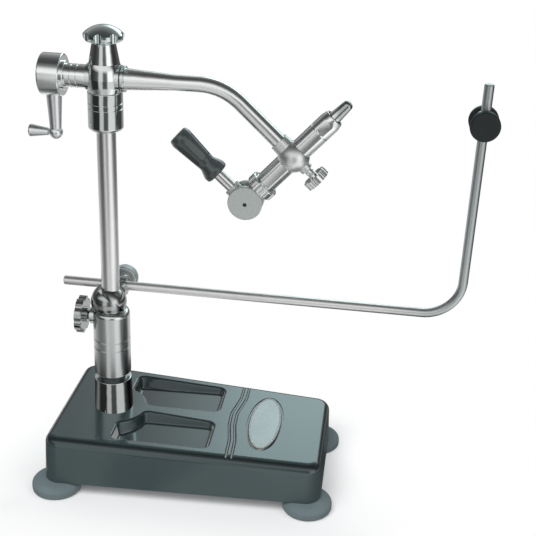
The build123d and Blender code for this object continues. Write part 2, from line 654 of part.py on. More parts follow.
def cradle_arm():
    """The bent cradle rod: a level run behind the stem and an upright."""
    start = (-ARM_LEFT, CLAMP_ARM_BACK, ARM_Z)
    corner = (ARM_RIGHT, CLAMP_ARM_BACK, ARM_Z)
    top = (ARM_RIGHT, CLAMP_ARM_BACK, ARM_Z + ARM_RISE)
    path = FilletPolyline(start, corner, top, radius=ARM_BEND)
    bar = sweep(Plane(origin=start, z_dir=(1, 0, 0)) * Circle(ARM_RADIUS), path=path)
    ends = bar.faces().filter_by(GeomType.PLANE)
    return chamfer([edge for face in ends for edge in face.edges()], ARM_CHAMFER)


def rest_barrel():
    """The rest's metal barrel on the upright, with a stud on each side for a disc."""
    half = REST_BARREL / 2
    reach = half + REST_STUD
    middle = CLAMP_ARM_BACK
    body = rod((ARM_RIGHT, middle - half, REST_Z), (ARM_RIGHT, middle + half, REST_Z), REST_BARREL_RADIUS)
    body += rod((ARM_RIGHT, middle - reach, REST_Z), (ARM_RIGHT, middle + reach, REST_Z), REST_STUD_RADIUS)
    low = REST_Z - REST_BARREL_RADIUS - OVERRUN
    high = REST_Z + REST_BARREL_RADIUS + OVERRUN
    return body - rod((ARM_RIGHT, middle, low), (ARM_RIGHT, middle, high), ARM_RADIUS + RUN_FIT)


def rest_disc(side):
    """One black disc of the rest."""
    face = CLAMP_ARM_BACK + side * (REST_BARREL / 2 + RUN_FIT)
    hole = REST_STUD_RADIUS + RUN_FIT
    disc = turned(
        [
            (hole, 0, 0),
            (REST_DISC_RADIUS, 0, REST_DISC_ROUND / 2),
            (REST_DISC_RADIUS, REST_DISC, REST_DISC_ROUND),
            (0, REST_DISC, 0),
            (0, REST_STUD + RUN_FIT, 0),
            (hole, REST_STUD + RUN_FIT, 0),
        ]
    )
    return Plane(origin=(ARM_RIGHT, face, REST_Z), z_dir=(0, side, 0)).location * disc


def head_housing():
    """The housing on the stem: a turned body that swells where the shaft's flat-ended boss crosses it."""
    swell_foot = AXIS_Z - HOUSING_SWELL_DROP
    body = turned(
        [
            (0, HOUSING_FOOT, 0),
            (HOUSING_RADIUS, HOUSING_FOOT, HOUSING_FOOT_ROUND),
            (HOUSING_RADIUS, swell_foot, HOUSING_RADIUS - HOUSING_SWELL_FOOT_RADIUS),
            (0, swell_foot, 0),
        ]
    )
    for step in (0, HOUSING_RING_STEP):
        body -= ring_groove(HOUSING_RADIUS, AXIS_Z - HOUSING_RING_DROP - step)
    foot = (HOUSING_SWELL_FOOT_RADIUS, swell_foot)
    top = (CAP_FOOT_RADIUS, HOUSING_TOP)
    swell = ThreePointArc(foot, (HOUSING_SWELL_RADIUS, AXIS_Z), top)
    sides = Polyline(top, (0, HOUSING_TOP), (0, swell_foot), foot)
    body += revolve(Plane.XZ * make_face([swell, sides]), axis=Axis.Z)
    body += rod((-HOUSING_FACE, 0, AXIS_Z), (HOUSING_FACE, 0, AXIS_Z), HOUSING_BOSS_RADIUS)
    body -= rod((0, 0, HOUSING_FOOT - OVERRUN), (0, 0, STEM_TOP), STEM_RADIUS + SEAT_FIT)
    reach = HOUSING_SWELL_RADIUS + OVERRUN
    body -= rod((-reach, 0, AXIS_Z), (reach, 0, AXIS_Z), BUSH_RADIUS + SEAT_FIT)
    body -= rod((0, 0, AXIS_Z), (0, 0, HOUSING_TOP + OVERRUN), SHOE_RADIUS + RUN_FIT)
    grub_z = HOUSING_FOOT + GRUB_RISE
    return body - rod((0, 0, grub_z), (0, HOUSING_RADIUS + OVERRUN, grub_z), GRUB_RADIUS + SEAT_FIT)


def shaft_bush(side):
    """One bronze bush of the rotary shaft."""
    outer = side * (HOUSING_FACE - BUSH_SINK)
    inner = outer - side * BUSH_LENGTH
    tube = rod((inner, 0, AXIS_Z), (outer, 0, AXIS_Z), BUSH_RADIUS)
    return tube - rod((inner, 0, AXIS_Z), (outer, 0, AXIS_Z), SHAFT_RADIUS + RUN_FIT)


def head_cap():
    """The conical cap under the top knob."""
    top = HOUSING_TOP + CAP_HEIGHT
    bore = TOP_SCREW_RADIUS + RUN_FIT
    return turned(
        [
            (bore, HOUSING_TOP, 0),
            (CAP_FOOT_RADIUS, HOUSING_TOP, 0),
            (CAP_TOP_RADIUS, top, RING_DEPTH),
            (bore, top, 0),
        ]
    )


def brake_shoe():
    """The shoe that the top knob presses on the shaft."""
    foot = AXIS_Z + SHAFT_RADIUS + PAD_GAP
    return rod((0, 0, foot), (0, 0, foot + SHOE_LENGTH), SHOE_RADIUS)


def top_knob():
    """The domed knob that sets the rotary brake, with its screw."""
    foot = AXIS_Z + SHAFT_RADIUS + 2 * PAD_GAP + SHOE_LENGTH
    face = HOUSING_TOP + CAP_HEIGHT + FACE_GAP
    head = Pos(0, 0, face) * knob_head(TOP_KNOB_RADIUS, TOP_KNOB, TOP_KNOB_DOME, TOP_KNOB_UNDER)
    return head + rod((0, 0, foot), (0, 0, face), TOP_SCREW_RADIUS)


def stem_grub_screw():
    """The grub screw that fixes the housing on the stem, at the back."""
    level = HOUSING_FOOT + GRUB_RISE
    near = STEM_RADIUS + SEAT_FIT
    return rod((0, near, level), (0, near + GRUB_LENGTH, level), GRUB_RADIUS)


def rotary_arm():
    """The shaft, its taper, the bend and the lower run, in one piece."""
    shaft = turned(
        [
            (0, -SHAFT_LEFT, 0),
            (SHAFT_RADIUS, -SHAFT_LEFT, 0),
            (SHAFT_RADIUS, TAPER_X, 0),
            (TAPER_RADIUS, TAPER_X, 0),
            (SHAFT_RADIUS, TAPER_X + TAPER_LENGTH, 0),
            (0, TAPER_X + TAPER_LENGTH, 0),
        ]
    )
    body = X_AXIS_PLANE.location * shaft
    start = (TAPER_X + TAPER_LENGTH, 0, AXIS_Z)
    run = DROP_LENGTH - ARM_SEAT
    end = (REACH + run * cos(radians(DROP_ANGLE)), 0, AXIS_Z - run * sin(radians(DROP_ANGLE)))
    path = FilletPolyline(start, (REACH, 0, AXIS_Z), end, radius=SHAFT_BEND)
    body += sweep(Plane(origin=start, z_dir=(1, 0, 0)) * Circle(SHAFT_RADIUS), path=path)
    hole_end = HUB_SCREW_LENGTH - SHAFT_LEFT
    return body - rod((-SHAFT_LEFT, 0, AXIS_Z), (hole_end, 0, AXIS_Z), HUB_SCREW_RADIUS + SEAT_FIT)


def ring_collar():
    """The ring between housing and taper."""
    ring = rod((COLLAR_X, 0, AXIS_Z), (TAPER_X, 0, AXIS_Z), RING_COLLAR_RADIUS)
    ring = fillet(ring.edges(), RING_DEPTH)
    return ring - rod((0, 0, AXIS_Z), (REACH, 0, AXIS_Z), SHAFT_RADIUS + SEAT_FIT)


def crank_spacer():
    """The grooved spacer between hub and housing."""
    bore = SHAFT_RADIUS + SEAT_FIT
    length = HUB_RIGHT - HUB_NOSE - SPACER_RIGHT
    tube = turned([(bore, 0, 0), (SPACER_RADIUS, 0, 0), (SPACER_RADIUS, length, 0), (bore, length, 0)])
    for step in (1, 2):
        tube -= ring_groove(SPACER_RADIUS, step * SPACER_GROOVE_STEP)
    left_end = Plane(origin=(HUB_NOSE - HUB_RIGHT, 0, AXIS_Z), z_dir=(1, 0, 0))
    return left_end.location * tube


def crank_hub():
    """The drum on the shaft's left end, dished on the outside, with a socket for the lever."""
    bore = SHAFT_RADIUS + SEAT_FIT
    screw_seat = HUB_RIGHT - SHAFT_LEFT + HUB_LENGTH
    drum = turned(
        [
            (bore, -HUB_NOSE, 0),
            (HUB_NOSE_RADIUS, -HUB_NOSE, RING_DEPTH),
            (HUB_NOSE_RADIUS, 0, 0),
            (HUB_RADIUS, 0, HUB_EDGE),
            (HUB_RADIUS, HUB_LENGTH, HUB_EDGE),
            (HUB_DISH_RADIUS, HUB_LENGTH, 0),
            (HUB_DISH_RADIUS, HUB_LENGTH - HUB_DISH, 0),
            (HUB_SCREW_HEAD_RADIUS + RUN_FIT, HUB_LENGTH - HUB_DISH, 0),
            (HUB_SCREW_HEAD_RADIUS + RUN_FIT, HUB_LENGTH - screw_seat, 0),
            (bore, HUB_LENGTH - screw_seat, 0),
        ]
    )
    drum = Plane(origin=(-HUB_RIGHT, 0, AXIS_Z), z_dir=(-1, 0, 0)).location * drum
    socket_top = AXIS_Z - HUB_RADIUS + LEVER_SOCKET
    return drum - rod((-LEVER_X, 0, HANDLE_Z), (-LEVER_X, 0, socket_top), LEVER_TOP_RADIUS + SEAT_FIT)


def hub_screw():
    """The screw that holds the hub on the shaft."""
    seat = -SHAFT_LEFT
    head = rod((seat, 0, AXIS_Z), (seat - HUB_SCREW_HEAD, 0, AXIS_Z), HUB_SCREW_HEAD_RADIUS)
    return head + rod((seat, 0, AXIS_Z), (seat + HUB_SCREW_LENGTH - FACE_GAP, 0, AXIS_Z), HUB_SCREW_RADIUS)


def crank_lever():
    """The tapered lever with a ball at its foot."""
    socket_top = AXIS_Z - HUB_RADIUS + LEVER_SOCKET
    hub_foot = AXIS_Z - HUB_RADIUS
    taper = turned(
        [
            (0, HANDLE_Z, 0),
            (LEVER_FOOT_RADIUS, HANDLE_Z, 0),
            (LEVER_TOP_RADIUS, hub_foot, 0),
            (LEVER_TOP_RADIUS, socket_top, 0),
            (0, socket_top, 0),
        ]
    )
    body = taper + Pos(0, 0, HANDLE_Z) * Sphere(LEVER_BALL)
    outside = -OVERRUN - LEVER_BALL
    inside = HANDLE_PIN_BITE - LEVER_BALL
    body -= rod((outside, 0, HANDLE_Z), (inside, 0, HANDLE_Z), HANDLE_PIN_RADIUS + SEAT_FIT)
    return Pos(-LEVER_X, 0, 0) * body


def handle_pin():
    """The shouldered pin that the handle spins on."""
    inner = HANDLE_PIN_BITE - LEVER_BALL - LEVER_X
    head = HANDLE_PIN_HEAD - HANDLE_LEFT
    pin = rod((inner, 0, HANDLE_Z), (head, 0, HANDLE_Z), HANDLE_PIN_RADIUS)
    return pin + rod((head, 0, HANDLE_Z), (-HANDLE_LEFT, 0, HANDLE_Z), HANDLE_PIN_HEAD_RADIUS)


def crank_handle():
    """The conical handle on the crank."""
    bore = HANDLE_PIN_RADIUS + RUN_FIT
    well = HANDLE_PIN_HEAD_RADIUS + RUN_FIT
    well_depth = HANDLE_LENGTH - HANDLE_PIN_HEAD - RUN_FIT
    cone = turned(
        [
            (bore, 0, 0),
            (HANDLE_FOOT_RADIUS, 0, 0),
            (HANDLE_END_RADIUS, HANDLE_LENGTH, HANDLE_ROUND),
            (well, HANDLE_LENGTH, 0),
            (well, well_depth, 0),
            (bore, well_depth, 0),
        ]
    )
    return Plane(origin=(-HANDLE_RIGHT, 0, HANDLE_Z), z_dir=(-1, 0, 0)).location * cone


def jaw_ball():
    """The ball at the arm's end that holds the jaw barrel, with a neck and a screw boss."""
    neck_end = BALL_RADIUS + BALL_NECK
    boss_end = BALL_RADIUS + BALL_BOSS
    body = Sphere(BALL_RADIUS)
    upward = (Align.CENTER, Align.CENTER, Align.MIN)
    body += Rot(0, -90, 0) * Cone(BALL_RADIUS - BALL_NECK, BALL_NECK_RADIUS, neck_end, align=upward)
    body += rod((0, 0, 0), (boss_end, 0, 0), BALL_BOSS_RADIUS)
    body -= rod((0, 0, -BALL_RADIUS - OVERRUN), (0, 0, BALL_RADIUS + OVERRUN), BARREL_RADIUS + RUN_FIT)
    body -= rod((-ARM_SEAT, 0, 0), (-neck_end - OVERRUN, 0, 0), SHAFT_RADIUS + SEAT_FIT)
    body -= rod((0, 0, 0), (boss_end + OVERRUN, 0, 0), JAW_SCREW_RADIUS + RUN_FIT)
    return JAW_PLANE.location * body


def jaw_pad():
    """The brass pad between jaw thumbscrew and barrel."""
    near = BARREL_RADIUS + PAD_GAP
    return JAW_PLANE.location * rod((near, 0, 0), (near + JAW_PAD, 0, 0), JAW_SCREW_RADIUS)


def jaw_thumbscrew():
    """The lobed screw that locks the jaw barrel in the ball."""
    tip = BARREL_RADIUS + 2 * PAD_GAP + JAW_PAD
    outward = Plane(origin=(JAW_KNOB_PLACE, 0, 0), z_dir=(1, 0, 0))
    head = outward.location * knob_head(JAW_KNOB_RADIUS, JAW_KNOB, JAW_KNOB_DOME)
    return JAW_PLANE.location * (head + rod((tip, 0, 0), (JAW_KNOB_PLACE, 0, 0), JAW_SCREW_RADIUS))


def jaw_barrel():
    """The barrel: long flat on the front, ringed nose, slimmer tail for the adjusting collar."""
    nose = BARREL_FRONT + NOSE_LENGTH
    tail = -BARREL_BACK - TAIL_LENGTH
    body = turned(
        [
            (BARREL_BORE, tail, 0),
            (TAIL_RADIUS, tail, 0),
            (TAIL_RADIUS, -BARREL_BACK, 0),
            (BARREL_RADIUS, -BARREL_BACK, RING_DEPTH),
            (BARREL_RADIUS, BARREL_FRONT, 0),
            (NOSE_RADIUS, nose, RING_DEPTH),
            (BARREL_BORE, nose, 0),
        ]
    )
    body -= ring_groove(BARREL_RADIUS, BARREL_RING_PLACE)
    flat = Box(2 * BARREL_RADIUS, BARREL_RADIUS, BARREL_BACK + BARREL_FRONT + NOSE_LENGTH)
    flat_y = BARREL_FLAT - BARREL_RADIUS - BARREL_RADIUS / 2
    body -= Pos(0, flat_y, (BARREL_FRONT + NOSE_LENGTH - BARREL_BACK) / 2) * flat
    for side in (-1, 1):
        x = side * JAW_PIN_OFFSET
        front = (x, -BARREL_RADIUS, JAW_PIN_PLACE)
        back = (x, BARREL_RADIUS, JAW_PIN_PLACE)
        body -= rod(front, back, JAW_PIN_RADIUS + SEAT_FIT)
    return JAW_PLANE.location * body


def adjusting_collar():
    """The scalloped collar on the barrel's tail, which the cam bears on."""
    front = -BARREL_BACK - FACE_GAP
    back = front - COLLAR_NUT
    wall = back + COLLAR_NUT_WALL
    thread = TAIL_RADIUS + RUN_FIT
    hole = DRAW_RADIUS + FACE_GAP
    body = turned(
        [
            (hole, back, 0),
            (COLLAR_NUT_RADIUS, back, HUB_EDGE),
            (COLLAR_NUT_RADIUS, front, HUB_EDGE),
            (thread, front, 0),
            (thread, wall, 0),
            (hole, wall, 0),
        ]
    )
    scallop = COLLAR_NUT_RADIUS * COLLAR_NUT_SCALLOP_SHARE
    places = PolarLocations(COLLAR_NUT_RADIUS * KNOB_PITCH_SHARE, COLLAR_NUT_SCALLOPS)
    scallops = Sketch() + places * Circle(scallop)
    body -= extrude(Pos(0, 0, back) * scallops, amount=COLLAR_NUT)
    return JAW_PLANE.location * body


def jaw(side):
    """One jaw: half of a slim tapering finger, with a hollowed tail and a pin hole."""
    root = BARREL_FRONT + NOSE_LENGTH
    finger = turned(
        [
            (0, JAW_TAIL, 0),
            (JAW_TAIL_RADIUS, JAW_TAIL, RING_DEPTH),
            (JAW_TAIL_RADIUS, BARREL_FRONT, 0),
            (JAW_ROOT_RADIUS, root, 0),
            (JAW_TIP_RADIUS, JAW_TIP, JAW_TIP_ROUND),
            (0, JAW_TIP, 0),
        ]
    )
    mouth = JAW_TAIL - OVERRUN
    floor = JAW_TAIL + JAW_HOLLOW
    finger -= turned(
        [
            (0, mouth, 0),
            (JAW_MOUTH_RADIUS, mouth, 0),
            (JAW_MOUTH_RADIUS, JAW_TAIL, 0),
            (JAW_HOLLOW_RADIUS, floor, 0),
            (0, floor, 0),
        ]
    )
    relief_length = JAW_PIN_PLACE - JAW_TAIL
    upward = (Align.CENTER, Align.CENTER, Align.MIN)
    relief = Box(JAW_RELIEF, 2 * JAW_TAIL_RADIUS, relief_length, align=upward)
    finger -= Pos(0, 0, JAW_TAIL - JAW_PIN_OFFSET) * relief
    keep = Keep.TOP if side > 0 else Keep.BOTTOM
    middle = Plane(origin=(side * JAW_SPLIT / 2, 0, 0), z_dir=(1, 0, 0))
    half = split(finger, bisect_by=middle, keep=keep)
    x = side * JAW_PIN_OFFSET
    front = (x, -JAW_PIN_HALF, JAW_PIN_PLACE)
    back = (x, JAW_PIN_HALF, JAW_PIN_PLACE)
    half -= rod(front, back, JAW_PIN_RADIUS + RUN_FIT)
    return JAW_PLANE.location * half


def jaw_pins():
    """The two cross pins that the jaws rock on."""
    pins = []
    for side in (-1, 1):
        x = side * JAW_PIN_OFFSET
        front = (x, -JAW_PIN_HALF, JAW_PIN_PLACE)
        back = (x, JAW_PIN_HALF, JAW_PIN_PLACE)
        pins.append(rod(front, back, JAW_PIN_RADIUS))
    return JAW_PLANE.location * group(pins)


def draw_rod():
    """The draw rod: a flared head between the jaws' tails, and a flat tongue with an eye for the cam pin."""
    shoulder = DRAW_FRONT - DRAW_HEAD
    body = turned(
        [
            (0, -CAM_PLACE, 0),
            (DRAW_RADIUS, -CAM_PLACE, 0),
            (DRAW_RADIUS, shoulder, 0),
            (DRAW_HEAD_RADIUS, DRAW_FRONT, 0),
            (0, DRAW_FRONT, 0),
        ]
    )
    half = TONGUE_THICKNESS / 2
    upward = (Align.CENTER, Align.CENTER, Align.MIN)
    plate = Box(2 * TONGUE_HALF, TONGUE_THICKNESS, TONGUE_LENGTH, align=upward)
    body += Pos(0, 0, -CAM_PLACE) * plate
    body += rod((0, -half, -CAM_PLACE), (0, half, -CAM_PLACE), EYE_RADIUS)
    body -= rod((0, -CAM_HALF, -CAM_PLACE), (0, CAM_HALF, -CAM_PLACE), CAM_PIN_RADIUS + SEAT_FIT)
    return JAW_PLANE.location * body


def jaw_spring():
    """The return spring round the draw rod, as a plain tube, hidden in the barrel."""
    tube = rod((0, 0, -SPRING_BACK), (0, 0, SPRING_FRONT), SPRING_RADIUS)
    tube -= rod((0, 0, -BARREL_BACK), (0, 0, BARREL_FRONT), DRAW_RADIUS + FACE_GAP)
    return JAW_PLANE.location * tube


def cam_body():
    """The cam: two round cheeks off the pin's centre, joined by the lever's boss."""
    x = -CAM_THROW
    z = CAM_THROW - CAM_PLACE
    body = rod((-CAM_BOSS_START, 0, -CAM_PLACE), (-CAM_BOSS_END, 0, -CAM_PLACE), CAM_BOSS_RADIUS)
    for side in (-1, 1):
        outer = side * CAM_HALF
        inner = side * (CAM_HALF - CAM_CHEEK)
        cheek = rod((x, inner, z), (x, outer, z), CAM_RADIUS)
        cheek = chamfer(cheek.edges(), CAM_EDGE)
        body += cheek
    reach = CAM_HALF + OVERRUN
    body -= rod((0, -reach, -CAM_PLACE), (0, reach, -CAM_PLACE), CAM_PIN_RADIUS + RUN_FIT)
    start = (-LEVER_ROD_START, 0, -CAM_PLACE)
    end = (-LEVER_ROD_END, 0, -CAM_PLACE)
    body -= rod(start, end, LEVER_ROD_RADIUS + SEAT_FIT)
    return JAW_PLANE.location * body


def cam_pin():
    """The pin that the cam turns on, held in the draw rod's eye."""
    half = CAM_HALF - CAM_PIN_SINK
    return JAW_PLANE.location * rod((0, -half, -CAM_PLACE), (0, half, -CAM_PLACE), CAM_PIN_RADIUS)


def lever_rod():
    """The round rod from cam to grip."""
    start = (-LEVER_ROD_START, 0, -CAM_PLACE)
    end = (-LEVER_ROD_END, 0, -CAM_PLACE)
    return JAW_PLANE.location * rod(start, end, LEVER_ROD_RADIUS)


def lever_grip():
    """The waisted grip, with a flange and long sunk panels."""
    bore = LEVER_ROD_RADIUS + SEAT_FIT
    bore_end = LEVER_ROD_END - GRIP_START + SEAT_FIT
    waist = GRIP_LENGTH * GRIP_WAIST_SHARE
    swell = GRIP_LENGTH * GRIP_SWELL_SHARE
    body = turned(
        [
            (bore, 0, 0),
            (GRIP_FLANGE_RADIUS, 0, GRIP_ROUND),
            (GRIP_FLANGE_RADIUS, GRIP_FLANGE, GRIP_ROUND),
            (GRIP_WAIST_RADIUS, waist, GRIP_FLANGE),
            (GRIP_END_RADIUS, swell, GRIP_ROUND),
            (GRIP_END_RADIUS - GRIP_ROUND / 2, GRIP_LENGTH, GRIP_ROUND),
            (0, GRIP_LENGTH, 0),
            (0, bore_end, 0),
            (bore, bore_end, 0),
        ]
    )
    start = GRIP_LENGTH * GRIP_PANEL_START_SHARE
    end = GRIP_LENGTH * GRIP_PANEL_END_SHARE
    lift = (GRIP_END_RADIUS - GRIP_WAIST_RADIUS) / (swell - waist)
    low = Vector(GRIP_WAIST_RADIUS + lift * (start - waist), 0, start)
    high = Vector(GRIP_WAIST_RADIUS + lift * (end - waist), 0, end)
    slope = high - low
    panel_plane = Plane(origin=(low + high) / 2, x_dir=slope, z_dir=Vector(slope.Z, 0, -slope.X))
    panel = SlotOverall(slope.length, GRIP_PANEL_WIDTH)
    tool = extrude(panel_plane.offset(-GRIP_PANEL_DEPTH) * panel, amount=GRIP_FLANGE)
    for turn in range(GRIP_PANELS):
        body -= Rot(0, 0, turn * 360 / GRIP_PANELS) * tool
    seat = Plane(origin=(-GRIP_START, 0, -CAM_PLACE), z_dir=(-1, 0, 0))
    return JAW_PLANE.location * seat.location * body


NODES = {
    "base_casting": base_casting,
    "badge_plate": badge_plate,
    "rubber_feet": rubber_feet,
    "foot_screws": foot_screws,
    "post_collar": post_collar,
    "post_gasket": post_gasket,
    "post_sleeve": post_sleeve,
    "post_bolt": post_bolt,
    "post_washer": post_washer,
    "stem_pad": stem_pad,
    "stem_thumbscrew": stem_thumbscrew,
    "stem": stem,
    "cradle_clamp": cradle_clamp,
    "cradle_shoe": cradle_shoe,
    "cradle_knob": cradle_knob,
    "cradle_arm": cradle_arm,
    "rest_barrel": rest_barrel,
    "rest_disc_rear": lambda: rest_disc(1),
    "rest_disc_front": lambda: rest_disc(-1),
    "head_housing": head_housing,
    "bush_left": lambda: shaft_bush(-1),
    "bush_right": lambda: shaft_bush(1),
    "head_cap": head_cap,
    "brake_shoe": brake_shoe,
    "top_knob": top_knob,
    "stem_grub_screw": stem_grub_screw,
    "rotary_arm": rotary_arm,
    "ring_collar": ring_collar,
    "crank_spacer": crank_spacer,
    "crank_hub": crank_hub,
    "hub_screw": hub_screw,
    "crank_lever": crank_lever,
    "handle_pin": handle_pin,
    "crank_handle": crank_handle,
    "jaw_ball": jaw_ball,
    "jaw_pad": jaw_pad,
    "jaw_thumbscrew": jaw_thumbscrew,
    "jaw_barrel": jaw_barrel,
    "adjusting_collar": adjusting_collar,
    "jaw_lower": lambda: jaw(1),
    "jaw_upper": lambda: jaw(-1),
    "jaw_pins": jaw_pins,
    "draw_rod": draw_rod,
    "jaw_spring": jaw_spring,
    "cam_body": cam_body,
    "cam_pin": cam_pin,
    "lever_rod": lever_rod,
    "lever_grip": lever_grip,
}


def main():
    """Write one STEP file for each piece."""
    os.makedirs("parts", exist_ok=True)
    for name, make in NODES.items():
        export_step(Pos(POST_X, 0, 0) * make(), f"parts/{name}.step")


main()
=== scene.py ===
"""Looks of a rotary fly tying vise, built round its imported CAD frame."""

from __future__ import annotations

import json
import logging
import math
from dataclasses import dataclass
from enum import Enum
from typing import Any, ClassVar, Sequence

import bmesh
import bpy
from mathutils import Matrix, Vector

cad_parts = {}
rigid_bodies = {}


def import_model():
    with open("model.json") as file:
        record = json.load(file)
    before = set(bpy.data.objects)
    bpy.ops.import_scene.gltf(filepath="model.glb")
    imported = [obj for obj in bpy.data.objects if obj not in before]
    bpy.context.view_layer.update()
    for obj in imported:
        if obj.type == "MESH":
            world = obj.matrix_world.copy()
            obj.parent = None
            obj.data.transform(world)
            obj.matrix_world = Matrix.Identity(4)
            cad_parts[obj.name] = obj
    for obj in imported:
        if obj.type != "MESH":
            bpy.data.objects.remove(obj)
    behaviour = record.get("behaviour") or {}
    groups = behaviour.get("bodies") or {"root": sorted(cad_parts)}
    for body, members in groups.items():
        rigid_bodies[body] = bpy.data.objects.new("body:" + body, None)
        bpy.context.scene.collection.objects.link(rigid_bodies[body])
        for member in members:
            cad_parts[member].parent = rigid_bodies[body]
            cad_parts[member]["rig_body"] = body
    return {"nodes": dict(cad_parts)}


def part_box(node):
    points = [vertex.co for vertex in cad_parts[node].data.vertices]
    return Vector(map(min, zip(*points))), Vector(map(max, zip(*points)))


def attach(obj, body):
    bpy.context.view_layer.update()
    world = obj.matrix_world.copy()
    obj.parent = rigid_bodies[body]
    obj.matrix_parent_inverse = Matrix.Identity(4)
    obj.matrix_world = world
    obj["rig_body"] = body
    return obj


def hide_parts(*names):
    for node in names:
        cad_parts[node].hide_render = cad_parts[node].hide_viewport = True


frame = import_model()

LOG = logging.getLogger("vise")
MM = 0.001
POST_X = -78.55
MERGE = 1e-6
FINE_MERGE = 1e-7
# Edges of a CAD node sharper than this stay crisp, in degrees
CRISP_ANGLE = 32.0
KEY_SIDES = 6
SLOT_SIDES = 4
NOISE_MEAN = 0.5
Colour = tuple[float, float, float]
Place = tuple[float, float, float]
Span = tuple[float, float]
Shades = tuple[Span, ...]
BLACK: Colour = (0.0, 0.0, 0.0)
WHITE: Colour = (1.0, 1.0, 1.0)


class Way(Enum):
    """The direction that a piece was turned or drawn along, in the object's frame."""

    UP = (0.0, 0.0, 1.0)
    ACROSS = (1.0, 0.0, 0.0)
    DEEP = (0.0, 1.0, 0.0)
    JAWS = (0.66913, 0.0, 0.74314)
    ARM = (0.74314, 0.0, -0.66913)


@dataclass(frozen=True)
class Grain:
    """A noise: cells per metre, octaves, and how much of the small octaves."""

    scale: float
    detail: float = 3.0
    rough: float = 0.55

    def inputs(self) -> dict[str, float]:
        """The noise as the inputs of its node."""
        return {"Scale": self.scale, "Detail": self.detail, "Roughness": self.rough}


class Sock:
    """A shader socket that Python operators turn into Math nodes."""

    def __init__(self, graph: Graph, socket: bpy.types.NodeSocket) -> None:
        """Wrap an output socket of a graph."""
        self.graph = graph
        self.socket = socket

    def maths(self, operation: str, *values: Any) -> Sock:
        """The result of a Math node on sockets or numbers."""
        made = self.graph.node("ShaderNodeMath", {"operation": operation}, dict(enumerate(values)))
        return Sock(self.graph, made.outputs[0])

    def __add__(self, other: Any) -> Sock:
        """Sum."""
        return self.maths("ADD", self, other)

    __radd__ = __add__

    def __sub__(self, other: Any) -> Sock:
        """Difference."""
        return self.maths("SUBTRACT", self, other)

    def __rsub__(self, other: Any) -> Sock:
        """Difference, from a number."""
        return self.maths("SUBTRACT", other, self)

    def __mul__(self, other: Any) -> Sock:
        """Product."""
        return self.maths("MULTIPLY", self, other)

    __rmul__ = __mul__

    def __truediv__(self, other: Any) -> Sock:
        """Quotient."""
        return self.maths("DIVIDE", self, other)

    def clamp(self) -> Sock:
        """The value held between 0 and 1."""
        return self.maths("MINIMUM", self.maths("MAXIMUM", self, 0.0), 1.0)

    def step(self, span: Span) -> Sock:
        """How far the value has come from a start over a run, between 0 and 1."""
        return ((self - span[0]) / span[1]).clamp()

    def turn(self, other: Any) -> Sock:
        """The angle of this value over another, as a share of the way from -180 to 180 degrees."""
        return self.maths("ARCTAN2", self, other) / math.tau + 0.5


